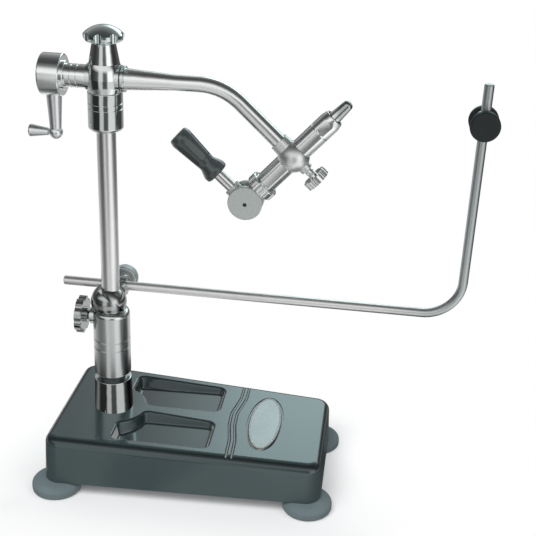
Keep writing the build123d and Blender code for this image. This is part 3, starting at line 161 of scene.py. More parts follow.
class Graph:
    """The nodes of one material or world."""

    SEEN = ("Is Camera Ray", "Is Glossy Ray", "Is Transmission Ray")

    def __init__(self, tree: bpy.types.NodeTree) -> None:
        """Start with an empty tree."""
        self.tree = tree
        tree.nodes.clear()

    def node(self, kind: str, settings: dict[str, Any] | None = None,
             inputs: dict[str | int, Any] | None = None) -> bpy.types.Node:
        """Add any node.

        Args:
            kind: The node's type.
            settings: Its properties; "stops" fills a colour ramp.
            inputs: Values or sockets, by the input's name or place.

        Returns:
            The new node.
        """
        made = self.tree.nodes.new(kind)
        for key, value in (settings or {}).items():
            if key == "stops":
                self.fill_ramp(made.color_ramp, value)
            else:
                setattr(made, key, value)
        for key, value in (inputs or {}).items():
            target = made.inputs[key]
            if isinstance(value, Sock):
                self.tree.links.new(value.socket, target)
            elif isinstance(value, tuple) and len(value) == 3 and target.type == "RGBA":
                target.default_value = (*value, 1.0)
            else:
                target.default_value = value
        return made

    def out(self, kind: str, name: str | int, settings: dict[str, Any] | None = None,
            inputs: dict[str | int, Any] | None = None) -> Sock:
        """Add a node and give one of its outputs, by name or place."""
        return Sock(self, self.node(kind, settings, inputs).outputs[name])

    @staticmethod
    def fill_ramp(ramp: bpy.types.ColorRamp, stops: Sequence[Span]) -> None:
        """Set a colour ramp's stops.

        Args:
            ramp: The ramp.
            stops: Places with a grey each, in order.
        """
        while len(ramp.elements) > 1:
            ramp.elements.remove(ramp.elements[-1])
        for index, (place, grey) in enumerate(stops):
            stop = ramp.elements[0] if index == 0 else ramp.elements.new(place)
            stop.position = place
            stop.color = (grey, grey, grey, 1.0)

    def place(self) -> Sock:
        """Object coordinates, in metres."""
        return self.out("ShaderNodeTexCoord", "Object")

    def split(self, vector: Sock) -> tuple[Sock, Sock, Sock]:
        """The X, Y and Z of a vector."""
        made = self.node("ShaderNodeSeparateXYZ", None, {0: vector})
        return tuple(Sock(self, made.outputs[index]) for index in range(3))

    def along(self, way: Way) -> Sock:
        """Distance along a direction, in metres."""
        inputs = {0: self.place(), 1: way.value}
        return self.out("ShaderNodeVectorMath", "Value", {"operation": "DOT_PRODUCT"}, inputs)

    def noise(self, grain: Grain) -> Sock:
        """Cloudy noise over the piece."""
        inputs = {"Vector": self.place(), **grain.inputs()}
        return self.out("ShaderNodeTexNoise", 0, {"noise_dimensions": "3D"}, inputs)

    def lines(self, way: Way, grain: Grain) -> Sock:
        """Noise in fine lines that run round a turned piece's axis."""
        inputs = {"W": self.along(way), **grain.inputs()}
        return self.out("ShaderNodeTexNoise", 0, {"noise_dimensions": "1D"}, inputs)

    def stored(self, name: str) -> Sock:
        """A number stored on the mesh."""
        return self.out("ShaderNodeAttribute", "Fac", {"attribute_name": name})

    def blend(self, factor: Any, first: Any, second: Any) -> Sock:
        """Two colours mixed by the share of the second, through a Mix node's colour sockets."""
        made = self.node("ShaderNodeMix", {"data_type": "RGBA"}, {0: factor, 6: first, 7: second})
        return Sock(self, made.outputs[2])

    def ramp(self, factor: Sock, stops: Sequence[Span]) -> Sock:
        """The grey of a ramp, read at a factor."""
        return self.out("ShaderNodeValToRGB", 0, {"stops": stops}, {0: factor})

    def bump(self, height: Sock, depth: float) -> Sock:
        """A normal bumped by heights between 0 and 1, where 1 stands for a depth in metres."""
        return self.out("ShaderNodeBump", 0, None, {"Strength": 1.0, "Distance": depth, "Height": height})

    def glow(self, colour: Any, strength: Any = 1.0) -> Sock:
        """Light of a colour and strength."""
        return self.out("ShaderNodeEmission", 0, None, {"Color": colour, "Strength": strength})

    def seen(self) -> Sock:
        """1 where the camera sees it, straight, mirrored or through something."""
        straight, mirrored, through = (self.out("ShaderNodeLightPath", name) for name in self.SEEN)
        return (straight + mirrored + through).clamp()

    def show(self, shader: Sock) -> None:
        """Close a material's graph with its shader."""
        self.node("ShaderNodeOutputMaterial", None, {"Surface": shader})

    def surface(self, inputs: dict[str | int, Any]) -> None:
        """Close a material's graph with a Principled shader."""
        self.show(self.out("ShaderNodeBsdfPrincipled", 0, None, inputs))


def shaded(colour: Colour, share: float) -> Colour:
    """A colour darkened to a share of itself."""
    return tuple(part * share for part in colour)


@dataclass(frozen=True)
class Metal:
    """Plated or bare metal, with turning lines, a handled surface and, where set, a darker colour beyond a
    start along X.
    """

    name: str
    colour: Colour
    roughness: float
    wander: float = 0.05
    lines: float = 0.0
    line_scale: float = 2600.0
    way: Way = Way.UP
    # Where set, a darker colour beyond a start along X: painted shade on the cradle's upright, and darker
    # tips on the jaws
    far: Colour | None = None
    far_start: float = 0.0
    far_run: float = 0.12
    mottle: float = 0.0

    FILM = Grain(55.0, 4.0)
    FILM_SHADE = 0.94
    SMEAR = Grain(420.0, 5.0, 0.65)
    SMEAR_HEIGHT = 0.3
    SMEAR_DEPTH = 0.000004
    GRIT = Grain(1500.0, 3.0, 0.7)
    GRIT_SPAN = (0.35, 1.0 / 3.0)
    GRIT_SHADE = 0.55
    LINE_DETAIL = 4.0
    LINE_ROUGH = 0.7
    LINE_DEPTH = 0.00002

    def paint(self, graph: Graph) -> None:
        """Fill the material.

        Args:
            graph: The material's nodes.
        """
        film = graph.noise(self.FILM)
        smear = graph.noise(self.SMEAR)
        colour = graph.blend(film, self.colour, shaded(self.colour, self.FILM_SHADE))
        if self.mottle > 0.0:
            grit = graph.noise(self.GRIT).step(self.GRIT_SPAN)
            colour = graph.blend(grit * self.mottle, colour, shaded(self.colour, self.GRIT_SHADE))
        # Darker beyond a start along X; on the cradle this is painted shade
        if self.far:
            share = graph.along(Way.ACROSS).step((self.far_start, self.far_run))
            colour = graph.blend(share, colour, self.far)
        rough = self.roughness + (film - NOISE_MEAN) * self.wander + (smear - NOISE_MEAN) * self.wander
        height = smear * self.SMEAR_HEIGHT
        if self.lines > 0.0:
            turned = graph.lines(self.way, Grain(self.line_scale, self.LINE_DETAIL, self.LINE_ROUGH))
            rough = rough + (turned - NOISE_MEAN) * self.lines
            height = height + turned
        graph.surface({
            "Base Color": colour,
            "Metallic": 1.0,
            "Roughness": rough.clamp(),
            "Normal": graph.bump(height, self.SMEAR_DEPTH + self.LINE_DEPTH * self.lines),
        })


@dataclass(frozen=True)
class Paint:
    """Stoved paint on a casting: slight orange peel, glossy on top, with painted shade darkening the rounded
    edges and painted light brightening the side walls.
    """

    name: str
    colour: Colour
    light: Colour
    # Colour of the painted shade on the rounded edges, and of the painted light on the side walls
    edge: Colour
    side: Colour
    roughness: float
    worn: float = 0.6
    matt: float = 0.2

    CLOUD = Grain(18.0)
    CLOUD_SHARE = 0.5
    PEEL = Grain(900.0, 2.0)
    PEEL_HEIGHT = 0.6
    PEEL_DEPTH = 0.00003
    FLECK = Grain(5200.0, 1.0)
    FLECK_SHARE = 0.25
    FLECK_HEIGHT = 0.15
    COVER = 0.9
    COVER_WANDER = 0.2
    ROUGH_WANDER = 0.12
    SHEEN = (0.75, 0.98, 1.0)
    COAT_ROUGH = 0.05

    def paint(self, graph: Graph) -> None:
        """Fill the material.

        Args:
            graph: The material's nodes.
        """
        cloud = graph.noise(self.CLOUD)
        peel = graph.noise(self.PEEL)
        fleck = graph.noise(self.FLECK)
        colour = graph.blend(cloud * self.CLOUD_SHARE + fleck * self.FLECK_SHARE, self.colour, self.light)
        cover = self.COVER + (cloud - NOISE_MEAN) * self.COVER_WANDER
        # Painted light: the side walls are lighter, for what they reflect; painted shade: the rounded edges
        # are darker
        walls = graph.stored("side")
        colour = graph.blend(walls * cover, colour, self.side)
        colour = graph.blend(graph.stored("edge") * cover, colour, self.edge)
        rough = self.roughness + (cloud - NOISE_MEAN) * self.ROUGH_WANDER + walls * self.matt
        graph.surface({
            "Base Color": colour,
            "Roughness": rough.clamp(),
            "Specular Tint": self.SHEEN,
            "Coat Weight": 1.0 - walls * self.worn,
            "Coat Roughness": self.COAT_ROUGH,
            "Normal": graph.bump(peel * self.PEEL_HEIGHT + fleck * self.FLECK_HEIGHT, self.PEEL_DEPTH),
        })


@dataclass(frozen=True)
class Rubber:
    """Moulded rubber or plastic with a fine skin, matt or with a soft gloss."""

    name: str
    colour: Colour
    light: Colour
    roughness: float = 0.62
    skin: float = 0.00005
    gloss: float = 0.0

    BLOOM = Grain(70.0, 4.0)
    BLOOM_SHARE = 0.7
    SKIN = Grain(2600.0, 3.0, 0.6)
    SKIN_SHARE = 0.2
    ROUGH_WANDER = 0.2
    COAT_ROUGH = 0.25

    def paint(self, graph: Graph) -> None:
        """Fill the material.

        Args:
            graph: The material's nodes.
        """
        bloom = graph.noise(self.BLOOM)
        grain = graph.noise(self.SKIN)
        share = bloom * self.BLOOM_SHARE + grain * self.SKIN_SHARE
        graph.surface({
            "Base Color": graph.blend(share, self.colour, self.light),
            "Roughness": (self.roughness + (bloom - NOISE_MEAN) * self.ROUGH_WANDER).clamp(),
            "Coat Weight": self.gloss,
            "Coat Roughness": self.COAT_ROUGH,
            "Normal": graph.bump(grain, self.skin),
        })


Finish = Metal | Paint | Rubber


class Finishes:
    """The finishes of the vise, each made once."""

    MIRROR = Metal("mirror_chrome", (0.74, 0.78, 0.775), 0.07, 0.03)
    BRIGHT = Metal("bright_chrome", (0.95, 0.975, 0.97), 0.14, 0.04)
    GREY = Metal("grey_chrome", (0.5, 0.525, 0.52), 0.16)
    DULL = Metal("dull_plate", (0.78, 0.815, 0.805), 0.46, 0.1, mottle=0.35)
    SATIN_UP = Metal("satin_chrome_upright", (0.72, 0.755, 0.75), 0.2, lines=0.05)
    STEM = Metal("stem_steel", (0.97, 0.985, 0.975), 0.31, 0.06, 0.06)
    ARM_STEEL = Metal("arm_steel", (0.95, 0.975, 0.965), 0.22)
    # The cradle's upright is darker than its run: painted shade
    CRADLE = Metal("cradle_steel", (0.98, 0.99, 0.975), 0.4, 0.08,
                   far=(0.52, 0.565, 0.565), far_start=0.07, far_run=0.04)
    PEARL = Metal("blasted_chrome", (0.9, 0.925, 0.915), 0.42, 0.08)
    DOME = Metal("dark_chrome", (0.8, 0.89, 0.89), 0.16, 0.04)
    PALE = Metal("pale_steel", (0.96, 0.99, 1.0), 0.34, 0.06)
    OXIDE = Metal("black_oxide", (0.07, 0.075, 0.076), 0.42, 0.1)
    CRANK = Metal("crank_steel", (0.95, 0.98, 0.975), 0.16, lines=0.06, way=Way.ACROSS)
    JAW = Metal("jaw_steel", (0.95, 0.98, 0.97), 0.2, lines=0.06, way=Way.JAWS)
    TIPS = Metal("jaw_tip_steel", (0.9, 0.93, 0.92), 0.2, lines=0.06, way=Way.JAWS,
                 far=(0.44, 0.465, 0.46), far_start=0.0375, far_run=0.003)
    LEVER = Metal("lever_steel", (0.94, 0.945, 0.935), 0.2, lines=0.05, way=Way.ARM)
    CAM = Metal("blasted_cam", (0.83, 0.885, 0.87), 0.55, 0.12, mottle=0.45)
    ZINC = Metal("zinc_plate", (0.62, 0.62, 0.6), 0.32, 0.1)
    BRASS = Metal("plain_brass", (0.68, 0.5, 0.25), 0.3, 0.1)
    BADGE = Metal("brushed_badge", (0.36, 0.375, 0.375), 0.34, 0.08, 0.12, 3400.0, Way.DEEP)
    # The side colour is painted light on the walls, and the near-black edge colour is painted shade on the
    # rounded edges
    PAINT = Paint("base_paint", (0.02, 0.035, 0.036), light=(0.03, 0.048, 0.05), edge=(0.007, 0.01, 0.01),
                  side=(0.045, 0.064, 0.065), roughness=0.24)
    FEET = Rubber("grey_rubber", (0.1, 0.135, 0.145), (0.155, 0.195, 0.205))
    # The ring in the neck between collar and sleeve is near black
    DARK_NECK_RING = Rubber("black_rubber", (0.008, 0.013, 0.0135), (0.024, 0.034, 0.036), 0.36, 0.00002, 0.7)
    GRIP = Rubber("grip_plastic", (0.02, 0.028, 0.029), (0.036, 0.047, 0.049), 0.32, 0.00002, 0.9)
    DISC = Rubber("black_disc", (0.0015, 0.0035, 0.0045), (0.008, 0.0145, 0.0155), 0.5, 0.00008)
    _made: dict[str, bpy.types.Material] = {}

    @classmethod
    def material(cls, finish: Finish) -> bpy.types.Material:
        """A finish as a Blender material.

        Args:
            finish: One of the finishes.

        Returns:
            The material, made on first use.
        """
        if finish.name not in cls._made:
            material = bpy.data.materials.new(finish.name)
            material.use_nodes = True
            finish.paint(Graph(material.node_tree))
            cls._made[finish.name] = material
        return cls._made[finish.name]


def to_frame(place: Sequence[float]) -> Vector:
    """A place in millimetres from the post's foot, in the frame's metres."""
    return Vector((place[0] + POST_X, place[1], place[2])) * MM


def aimed(place: Sequence[float], way: Sequence[float]) -> Matrix:
    """Axes at a place in millimetres from the post's foot, with their Z along a direction."""
    return Matrix.Translation(to_frame(place)) @ Vector(way).to_track_quat("Z", "Y").to_matrix().to_4x4()


def linked(name: str, data: bpy.types.ID) -> bpy.types.Object:
    """A new object in the scene.

    Args:
        name: Its name.
        data: Its mesh, lamp or camera.

    Returns:
        The object.
    """
    made = bpy.data.objects.new(name, data)
    bpy.context.scene.collection.objects.link(made)
    return made


def baked(piece: bpy.types.Object) -> bpy.types.Mesh:
    """A piece's mesh with its modifiers worked in.

    Args:
        piece: The piece, which is removed.

    Returns:
        The new mesh.
    """
    graph = bpy.context.evaluated_depsgraph_get()
    mesh = bpy.data.meshes.new_from_object(piece.evaluated_get(graph), depsgraph=graph)
    bpy.data.objects.remove(piece)
    return mesh


def merge(mesh: bpy.types.Mesh, distance: float, outward: bool = False) -> None:
    """Merge a mesh's doubled points.

    Args:
        mesh: The mesh, changed in place.
        distance: How near they lie, in metres.
        outward: Whether its faces are then turned outwards.
    """
    work = bmesh.new()
    work.from_mesh(mesh)
    bmesh.ops.remove_doubles(work, verts=work.verts, dist=distance)
    if outward:
        bmesh.ops.recalc_face_normals(work, faces=work.faces)
    work.to_mesh(mesh)
    work.free()


@dataclass(frozen=True)
class Recess:
    """A recess cut into a screw's end, for a key or, narrowed, as a slot; in millimetres."""

    centre: Place
    inward: Place
    radius: float
    depth: float
    sides: int = KEY_SIDES
    narrow: float = 1.0

    def prism(self, work: bmesh.types.BMesh) -> None:
        """Add the cutting prism.

        Args:
            work: The mesh that gathers the cutters.
        """
        radius = self.radius * MM
        made = bmesh.ops.create_cone(work, cap_ends=True, segments=self.sides, radius1=radius,
                                     radius2=radius, depth=2.0 * self.depth * MM)
        # An eighth of a turn sets a slot's four sides square
        shape = Matrix.Diagonal((1.0, self.narrow, 1.0, 1.0)) @ Matrix.Rotation(math.tau / 8.0, 4, "Z")
        bmesh.ops.transform(work, matrix=aimed(self.centre, self.inward) @ shape, verts=made["verts"])


def cut_recesses(mesh: bpy.types.Mesh, recesses: Sequence[Recess]) -> bpy.types.Mesh:
    """Cut recesses into a mesh.

    Args:
        mesh: The screws.
        recesses: What to cut.

    Returns:
        The cut mesh.
    """
    tool_mesh = bpy.data.meshes.new("recesses")
    work = bmesh.new()
    for recess in recesses:
        recess.prism(work)
    bmesh.ops.recalc_face_normals(work, faces=work.faces)
    work.to_mesh(tool_mesh)
    work.free()
    tool = linked("recesses", tool_mesh)
    piece = linked("recessed", mesh)
    cut = piece.modifiers.new("cut", "BOOLEAN")
    cut.operation = "DIFFERENCE"
    cut.solver = "EXACT"
    cut.object = tool
    result = baked(piece)
    bpy.data.objects.remove(tool)
    return result


class Casting:
    """What the paint's painted light and shade need to know of the casting's faces, by how far their normals
    point up or down.
    """

    WALL = 0.06
    EDGE_START = 0.3
    EDGE_RISE = 0.35
    EDGE_END = 0.99
    EDGE_FALL = 0.1

    @classmethod
    def mark(cls, mesh: bpy.types.Mesh) -> None:
        """Store on each corner how far its face is one of the rounded edges, which take painted shade, and
        whether it is a side wall, which takes painted light.

        Args:
            mesh: The casting.
        """
        edge = mesh.attributes.new("edge", "FLOAT", "CORNER")
        side = mesh.attributes.new("side", "FLOAT", "CORNER")
        for face in mesh.polygons:
            lift = abs(face.normal.z)
            rise = (lift - cls.EDGE_START) / cls.EDGE_RISE
            fall = (cls.EDGE_END - lift) / cls.EDGE_FALL
            for corner in face.loop_indices:
                edge.data[corner].value = max(0.0, min(rise, fall, 1.0))
                side.data[corner].value = float(lift < cls.WALL)


def smooth_copy(node: str, finish: Finish, recesses: Sequence[Recess]) -> None:
    """Make a smooth-shaded piece that stands for a CAD node, on the node's body.

    Args:
        node: The CAD node.
        finish: Its finish.
        recesses: What to cut into it.
    """
    source = frame["nodes"][node]
    mesh = source.data.copy()
    merge(mesh, MERGE)
    if recesses:
        mesh = cut_recesses(mesh, recesses)
    mesh.name = node + "_dress"
    if "custom_normal" in mesh.attributes:
        mesh.attributes.remove(mesh.attributes["custom_normal"])
    mesh.shade_smooth()
    mesh.set_sharp_from_angle(angle=math.radians(CRISP_ANGLE))
    if isinstance(finish, Paint):
        Casting.mark(mesh)
    mesh.materials.clear()
    mesh.materials.append(Finishes.material(finish))
    piece = linked(node + "_dress", mesh)
    even = piece.modifiers.new("even", "WEIGHTED_NORMAL")
    even.keep_sharp = True
    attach(piece, source["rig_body"])
    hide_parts(node)
    LOG.info("%s: smooth copy, %d faces", node, len(mesh.polygons))


@dataclass(frozen=True)
class Lamp:
    """A round soft lamp that is aimed at the vise and has no reflection."""

    name: str
    place: Place
    size: float
    power: float
    aim: Place = (0.0, 0.0, 0.08)

    def hang(self) -> None:
        """Add the lamp."""
        lamp = bpy.data.lights.new(self.name, "AREA")
        lamp.shape = "DISK"
        lamp.size = self.size
        lamp.energy = self.power
        holder = linked(self.name, lamp)
        turn = (Vector(self.aim) - Vector(self.place)).to_track_quat("-Z", "Y")
        holder.matrix_world = Matrix.Translation(self.place) @ turn.to_matrix().to_4x4()
        holder.visible_glossy = False


@dataclass
class Studio:
    """Floor, reflected surround, lamps, world and camera; a span is a start and a run."""

    camera_place: Place = (139.3 + POST_X, -475.8, 343.5)
    azimuth: float = 6.33
    elevation: float = 24.24
    roll: float = 2.47
    focal_pixels: float = 984.8
    frame_pixels: float = 536.0
    sensor: float = 36.0
    clip_start: float = 0.01
    # A large soft key above the front left and a fill on the right
    lamps: tuple[Lamp, ...] = (
        Lamp("key", (-0.35, -0.55, 1.0), size=0.9, power=9.0),
        Lamp("fill", (0.8, -0.3, 0.7), size=0.8, power=2.52))
    room_light: Colour = (0.5, 0.51, 0.52)
    # The floor's paper keeps the shadow near the base, and glows more towards the back
    floor_half: float = 3.0
    paper: Colour = (0.8, 0.8, 0.8)
    base_middle: float = -31.0
    base_half: Span = (80.0, 46.0)
    shadow_span: Span = (0.004, 0.045)
    glow_low: float = 0.03
    glow_gain: float = 0.23
    glow_span: Span = (-0.06, 0.08)
    # The surround's ball, and a soft box high at its back, in shares of its radius
    surround_radius: float = 1.4
    surround_parts: tuple[int, int] = (64, 32)
    post_azimuth: float = 16.3
    high_span: Span = (0.32, 2.0 / 15.0)
    box_deep: Span = (0.55, 0.2)
    box_foot: Span = (0.3, 0.125)
    box_head: Span = (0.67, 1.0 / 14.0)
    box_left: Span = (-0.3, 0.25)
    box_power: float = 1.1
    box_colour: Colour = (0.8, 0.98, 1.0)
    # The table's disc, whose zones follow each other outwards from the post's grey foot
    table_radius: float = 1.3
    table_parts: int = 96
    table_height: float = -0.002
    foot_grey: Colour = (0.72, 0.72, 0.72)
    under_share: float = 0.75
    under_loss: float = 0.68
    under_span: Span = (-0.01, 0.04)
    zones: tuple[Span, ...] = ((0.05, 0.012), (0.116, 0.012), (0.21, 0.05), (0.4, 0.04))
    # What metal sees over the front horizon, round the top and down behind, in degrees
    ring: Shades = (
        (-180, 0.5), (-100, 0.48), (-50, 0.48), (-27, 0.16), (-10, 0.44), (4, 0.8), (28, 1.0), (45, 0.85),
        (58, 0.22), (76, 0.05), (98, 0.08), (122, 0.22), (142, 0.4), (160, 0.5), (180, 0.4))
    # The same just over the horizon, in degrees from the camera to the right
    low: Shades = (
        (-180, 0.12), (-140, 0.12), (-106, 0.08), (-82, 0.04), (-60, 0.08), (-46, 0.15), (-37, 0.8),
        (-19, 0.8), (-11, 0.16), (3, 0.13), (11, 0.35), (19, 1.3), (42, 1.5), (54, 0.6), (66, 0.06),
        (100, 0.04), (118, 0.1), (150, 0.12), (180, 0.12))
    # What metal sees on the table far off, half way and close by, in degrees from the camera to the right
    far: Shades = (
        (-180, 0.6), (-115, 0.4), (-95, 0.2), (-84, 0.03), (-44, 0.03), (-36, 0.65), (-18, 0.65),
        (-11, 0.1), (11, 0.1), (19, 0.85), (56, 0.85), (67, 0.08), (112, 0.05), (140, 0.4), (180, 0.6))
    middle: Shades = (
        (-180, 0.9), (-140, 0.9), (-106, 0.45), (-82, 0.22), (-60, 0.1), (-42, 0.3), (-24, 0.66),
        (8, 0.58), (30, 0.95), (48, 1.3), (68, 0.9), (90, 0.4), (114, 0.35), (150, 0.7), (180, 0.9))
    close: Shades = (
        (-180, 0.8), (-140, 0.7), (-106, 0.38), (-80, 0.2), (-60, 0.22), (-42, 0.3), (-31, 0.75),
        (-12, 0.6), (8, 0.65), (26, 0.95), (42, 0.8), (55, 0.12), (82, 0.03), (104, 0.1), (125, 0.6),
        (180, 0.8))

    def build(self) -> None:
        """Make everything that is not the object."""
        self.floor()
        self.surround()
        self.table()
        for lamp in self.lamps:
            lamp.hang()
        self.world()
        self.camera()

    @staticmethod
    def coat(mesh: bpy.types.Mesh, name: str) -> Graph:
        """Give a stage mesh a material.

        Args:
            mesh: The mesh.
            name: The material's name.

        Returns:
            The material's nodes, still empty.
        """
        material = bpy.data.materials.new(name)
        material.use_nodes = True
        mesh.materials.append(material)
        return Graph(material.node_tree)

    def floor(self) -> None:
        """Lay a pale floor that is white to the camera and keeps the shadow."""
        half = self.floor_half
        corners = [(-half, -half, 0.0), (half, -half, 0.0), (half, half, 0.0), (-half, half, 0.0)]
        mesh = bpy.data.meshes.new("floor")
        mesh.from_pydata(corners, [], [(0, 1, 2, 3)])
        floor = linked("floor", mesh)
        graph = self.coat(mesh, "floor_paper")
        x, y, _ = graph.split(graph.place())
        lit = graph.out("ShaderNodeBsdfDiffuse", 0, None, {"Color": self.paper})
        glow = graph.glow(WHITE, self.glow_low + y.step(self.glow_span) * self.glow_gain)
        both = graph.out("ShaderNodeAddShader", 0, None, {0: lit, 1: glow})
        side = x.maths("ABSOLUTE", x - self.base_middle * MM) - self.base_half[0] * MM
        front = y.maths("ABSOLUTE", y) - self.base_half[1] * MM
        off = side.maths("MAXIMUM", side, front).step(self.shadow_span)
        paper = graph.out("ShaderNodeMixShader", 0, None, {0: off, 1: both, 2: graph.glow(WHITE)})
        graph.show(graph.out("ShaderNodeMixShader", 0, None, {0: graph.seen(), 1: lit, 2: paper}))
        floor.visible_glossy = False

    def surround(self) -> None:
        """Hang a ball of soft boxes and dark flags that only reflections see."""
        mesh = bpy.data.meshes.new("surround")
        work = bmesh.new()
        wide, high = self.surround_parts
        bmesh.ops.create_uvsphere(work, u_segments=wide, v_segments=high, radius=self.surround_radius)
        work.to_mesh(mesh)
        work.free()
        ball = linked("surround", mesh)
        graph = self.coat(mesh, "studio_surround")
        x, y, z = graph.split(graph.place())
        ring = graph.ramp(z.turn(0.0 - y), self.round_stops(self.ring, 0.0))
        low = graph.ramp(x.turn(0.0 - y), self.round_stops(self.low, self.post_azimuth))
        across, deep, up = (part / self.surround_radius for part in (x, y, z))
        box = deep.step(self.box_deep) * up.step(self.box_foot) * (1.0 - up.step(self.box_head))
        box = box * across.step(self.box_left) * self.box_power
        shade = graph.blend(up.step(self.high_span), low, ring)
        shade = graph.blend(box, shade, self.box_colour)
        graph.show(graph.glow(shade, 1.0 + box * self.box_power))
        self.mirror_only(ball)

    def table(self) -> None:
        """Lay the table top as reflections see it, with soft boxes and dark flags round the post."""
        mesh = bpy.data.meshes.new("table")
        work = bmesh.new()
        bmesh.ops.create_circle(work, cap_ends=True, segments=self.table_parts, radius=self.table_radius)
        work.to_mesh(mesh)
        work.free()
        disc = linked("table", mesh)
        disc.location = (POST_X * MM, 0.0, self.table_height)
        graph = self.coat(mesh, "studio_table")
        x, y, _ = graph.split(graph.place())
        turn = x.turn(0.0 - y)
        reach = x.maths("SQRT", x * x + y * y)
        far, middle, close = (graph.ramp(turn, self.round_stops(shades, self.post_azimuth))
                              for shades in (self.far, self.middle, self.close))
        under = graph.blend(self.under_share - y.step(self.under_span) * self.under_loss, BLACK, far)
        shade: Any = self.foot_grey
        for span, zone in zip(self.zones, (under, close, middle, far)):
            shade = graph.blend(reach.step(span), shade, zone)
        graph.show(graph.glow(shade))
        self.mirror_only(disc)

    @staticmethod
    def round_stops(shades: Shades, shift: float) -> list[Span]:
        """Shades by angle as the stops of a ramp that closes on itself.

        Args:
            shades: Angles from -180 to 180 with a shade each.
            shift: How far to turn them, in degrees.

        Returns:
            Stops between 0 and 1, in order.
        """
        stops = sorted(((angle + shift + 180.0) % 360.0 / 360.0, shade) for angle, shade in shades[:-1])
        seam = (stops[0][1] + stops[-1][1]) / 2.0
        return [(0.0, seam), *stops, (1.0, seam)]

    @staticmethod
    def mirror_only(piece: bpy.types.Object) -> None:
        """Leave a stage piece to reflections alone.

        Args:
            piece: The ball or the disc.
        """
        piece.visible_camera = False
        piece.visible_diffuse = False
        piece.visible_shadow = False
        piece.visible_transmission = False

    def world(self) -> None:
        """Make the world white to the camera, and a soft grey light on the object."""
        world = bpy.data.worlds.new("studio")
        world.use_nodes = True
        bpy.context.scene.world = world
        graph = Graph(world.node_tree)
        shade = graph.blend(graph.seen(), self.room_light, WHITE)
        back = graph.out("ShaderNodeBackground", 0, None, {"Color": shade, "Strength": 1.0})
        graph.node("ShaderNodeOutputWorld", None, {"Surface": back})

    def camera(self) -> None:
        """Set the camera at the photograph's place."""
        turn, lift, roll = (math.radians(angle) for angle in (self.azimuth, self.elevation, self.roll))
        look = Vector((-math.sin(turn) * math.cos(lift), math.cos(turn) * math.cos(lift), -math.sin(lift)))
        right = look.cross(Vector(Way.UP.value)).normalized()
        up = right.cross(look)
        side = right * math.cos(roll) + up * math.sin(roll)
        head = up * math.cos(roll) - right * math.sin(roll)
        lens = bpy.data.cameras.new("camera")
        lens.sensor_width = self.sensor
        lens.lens = self.sensor * self.focal_pixels / self.frame_pixels
        lens.clip_start = self.clip_start
        camera = linked("camera", lens)
        spin = Matrix((side, head, -look)).transposed().to_4x4()
        camera.matrix_world = Matrix.Translation(Vector(self.camera_place) * MM) @ spin
        bpy.context.scene.camera = camera


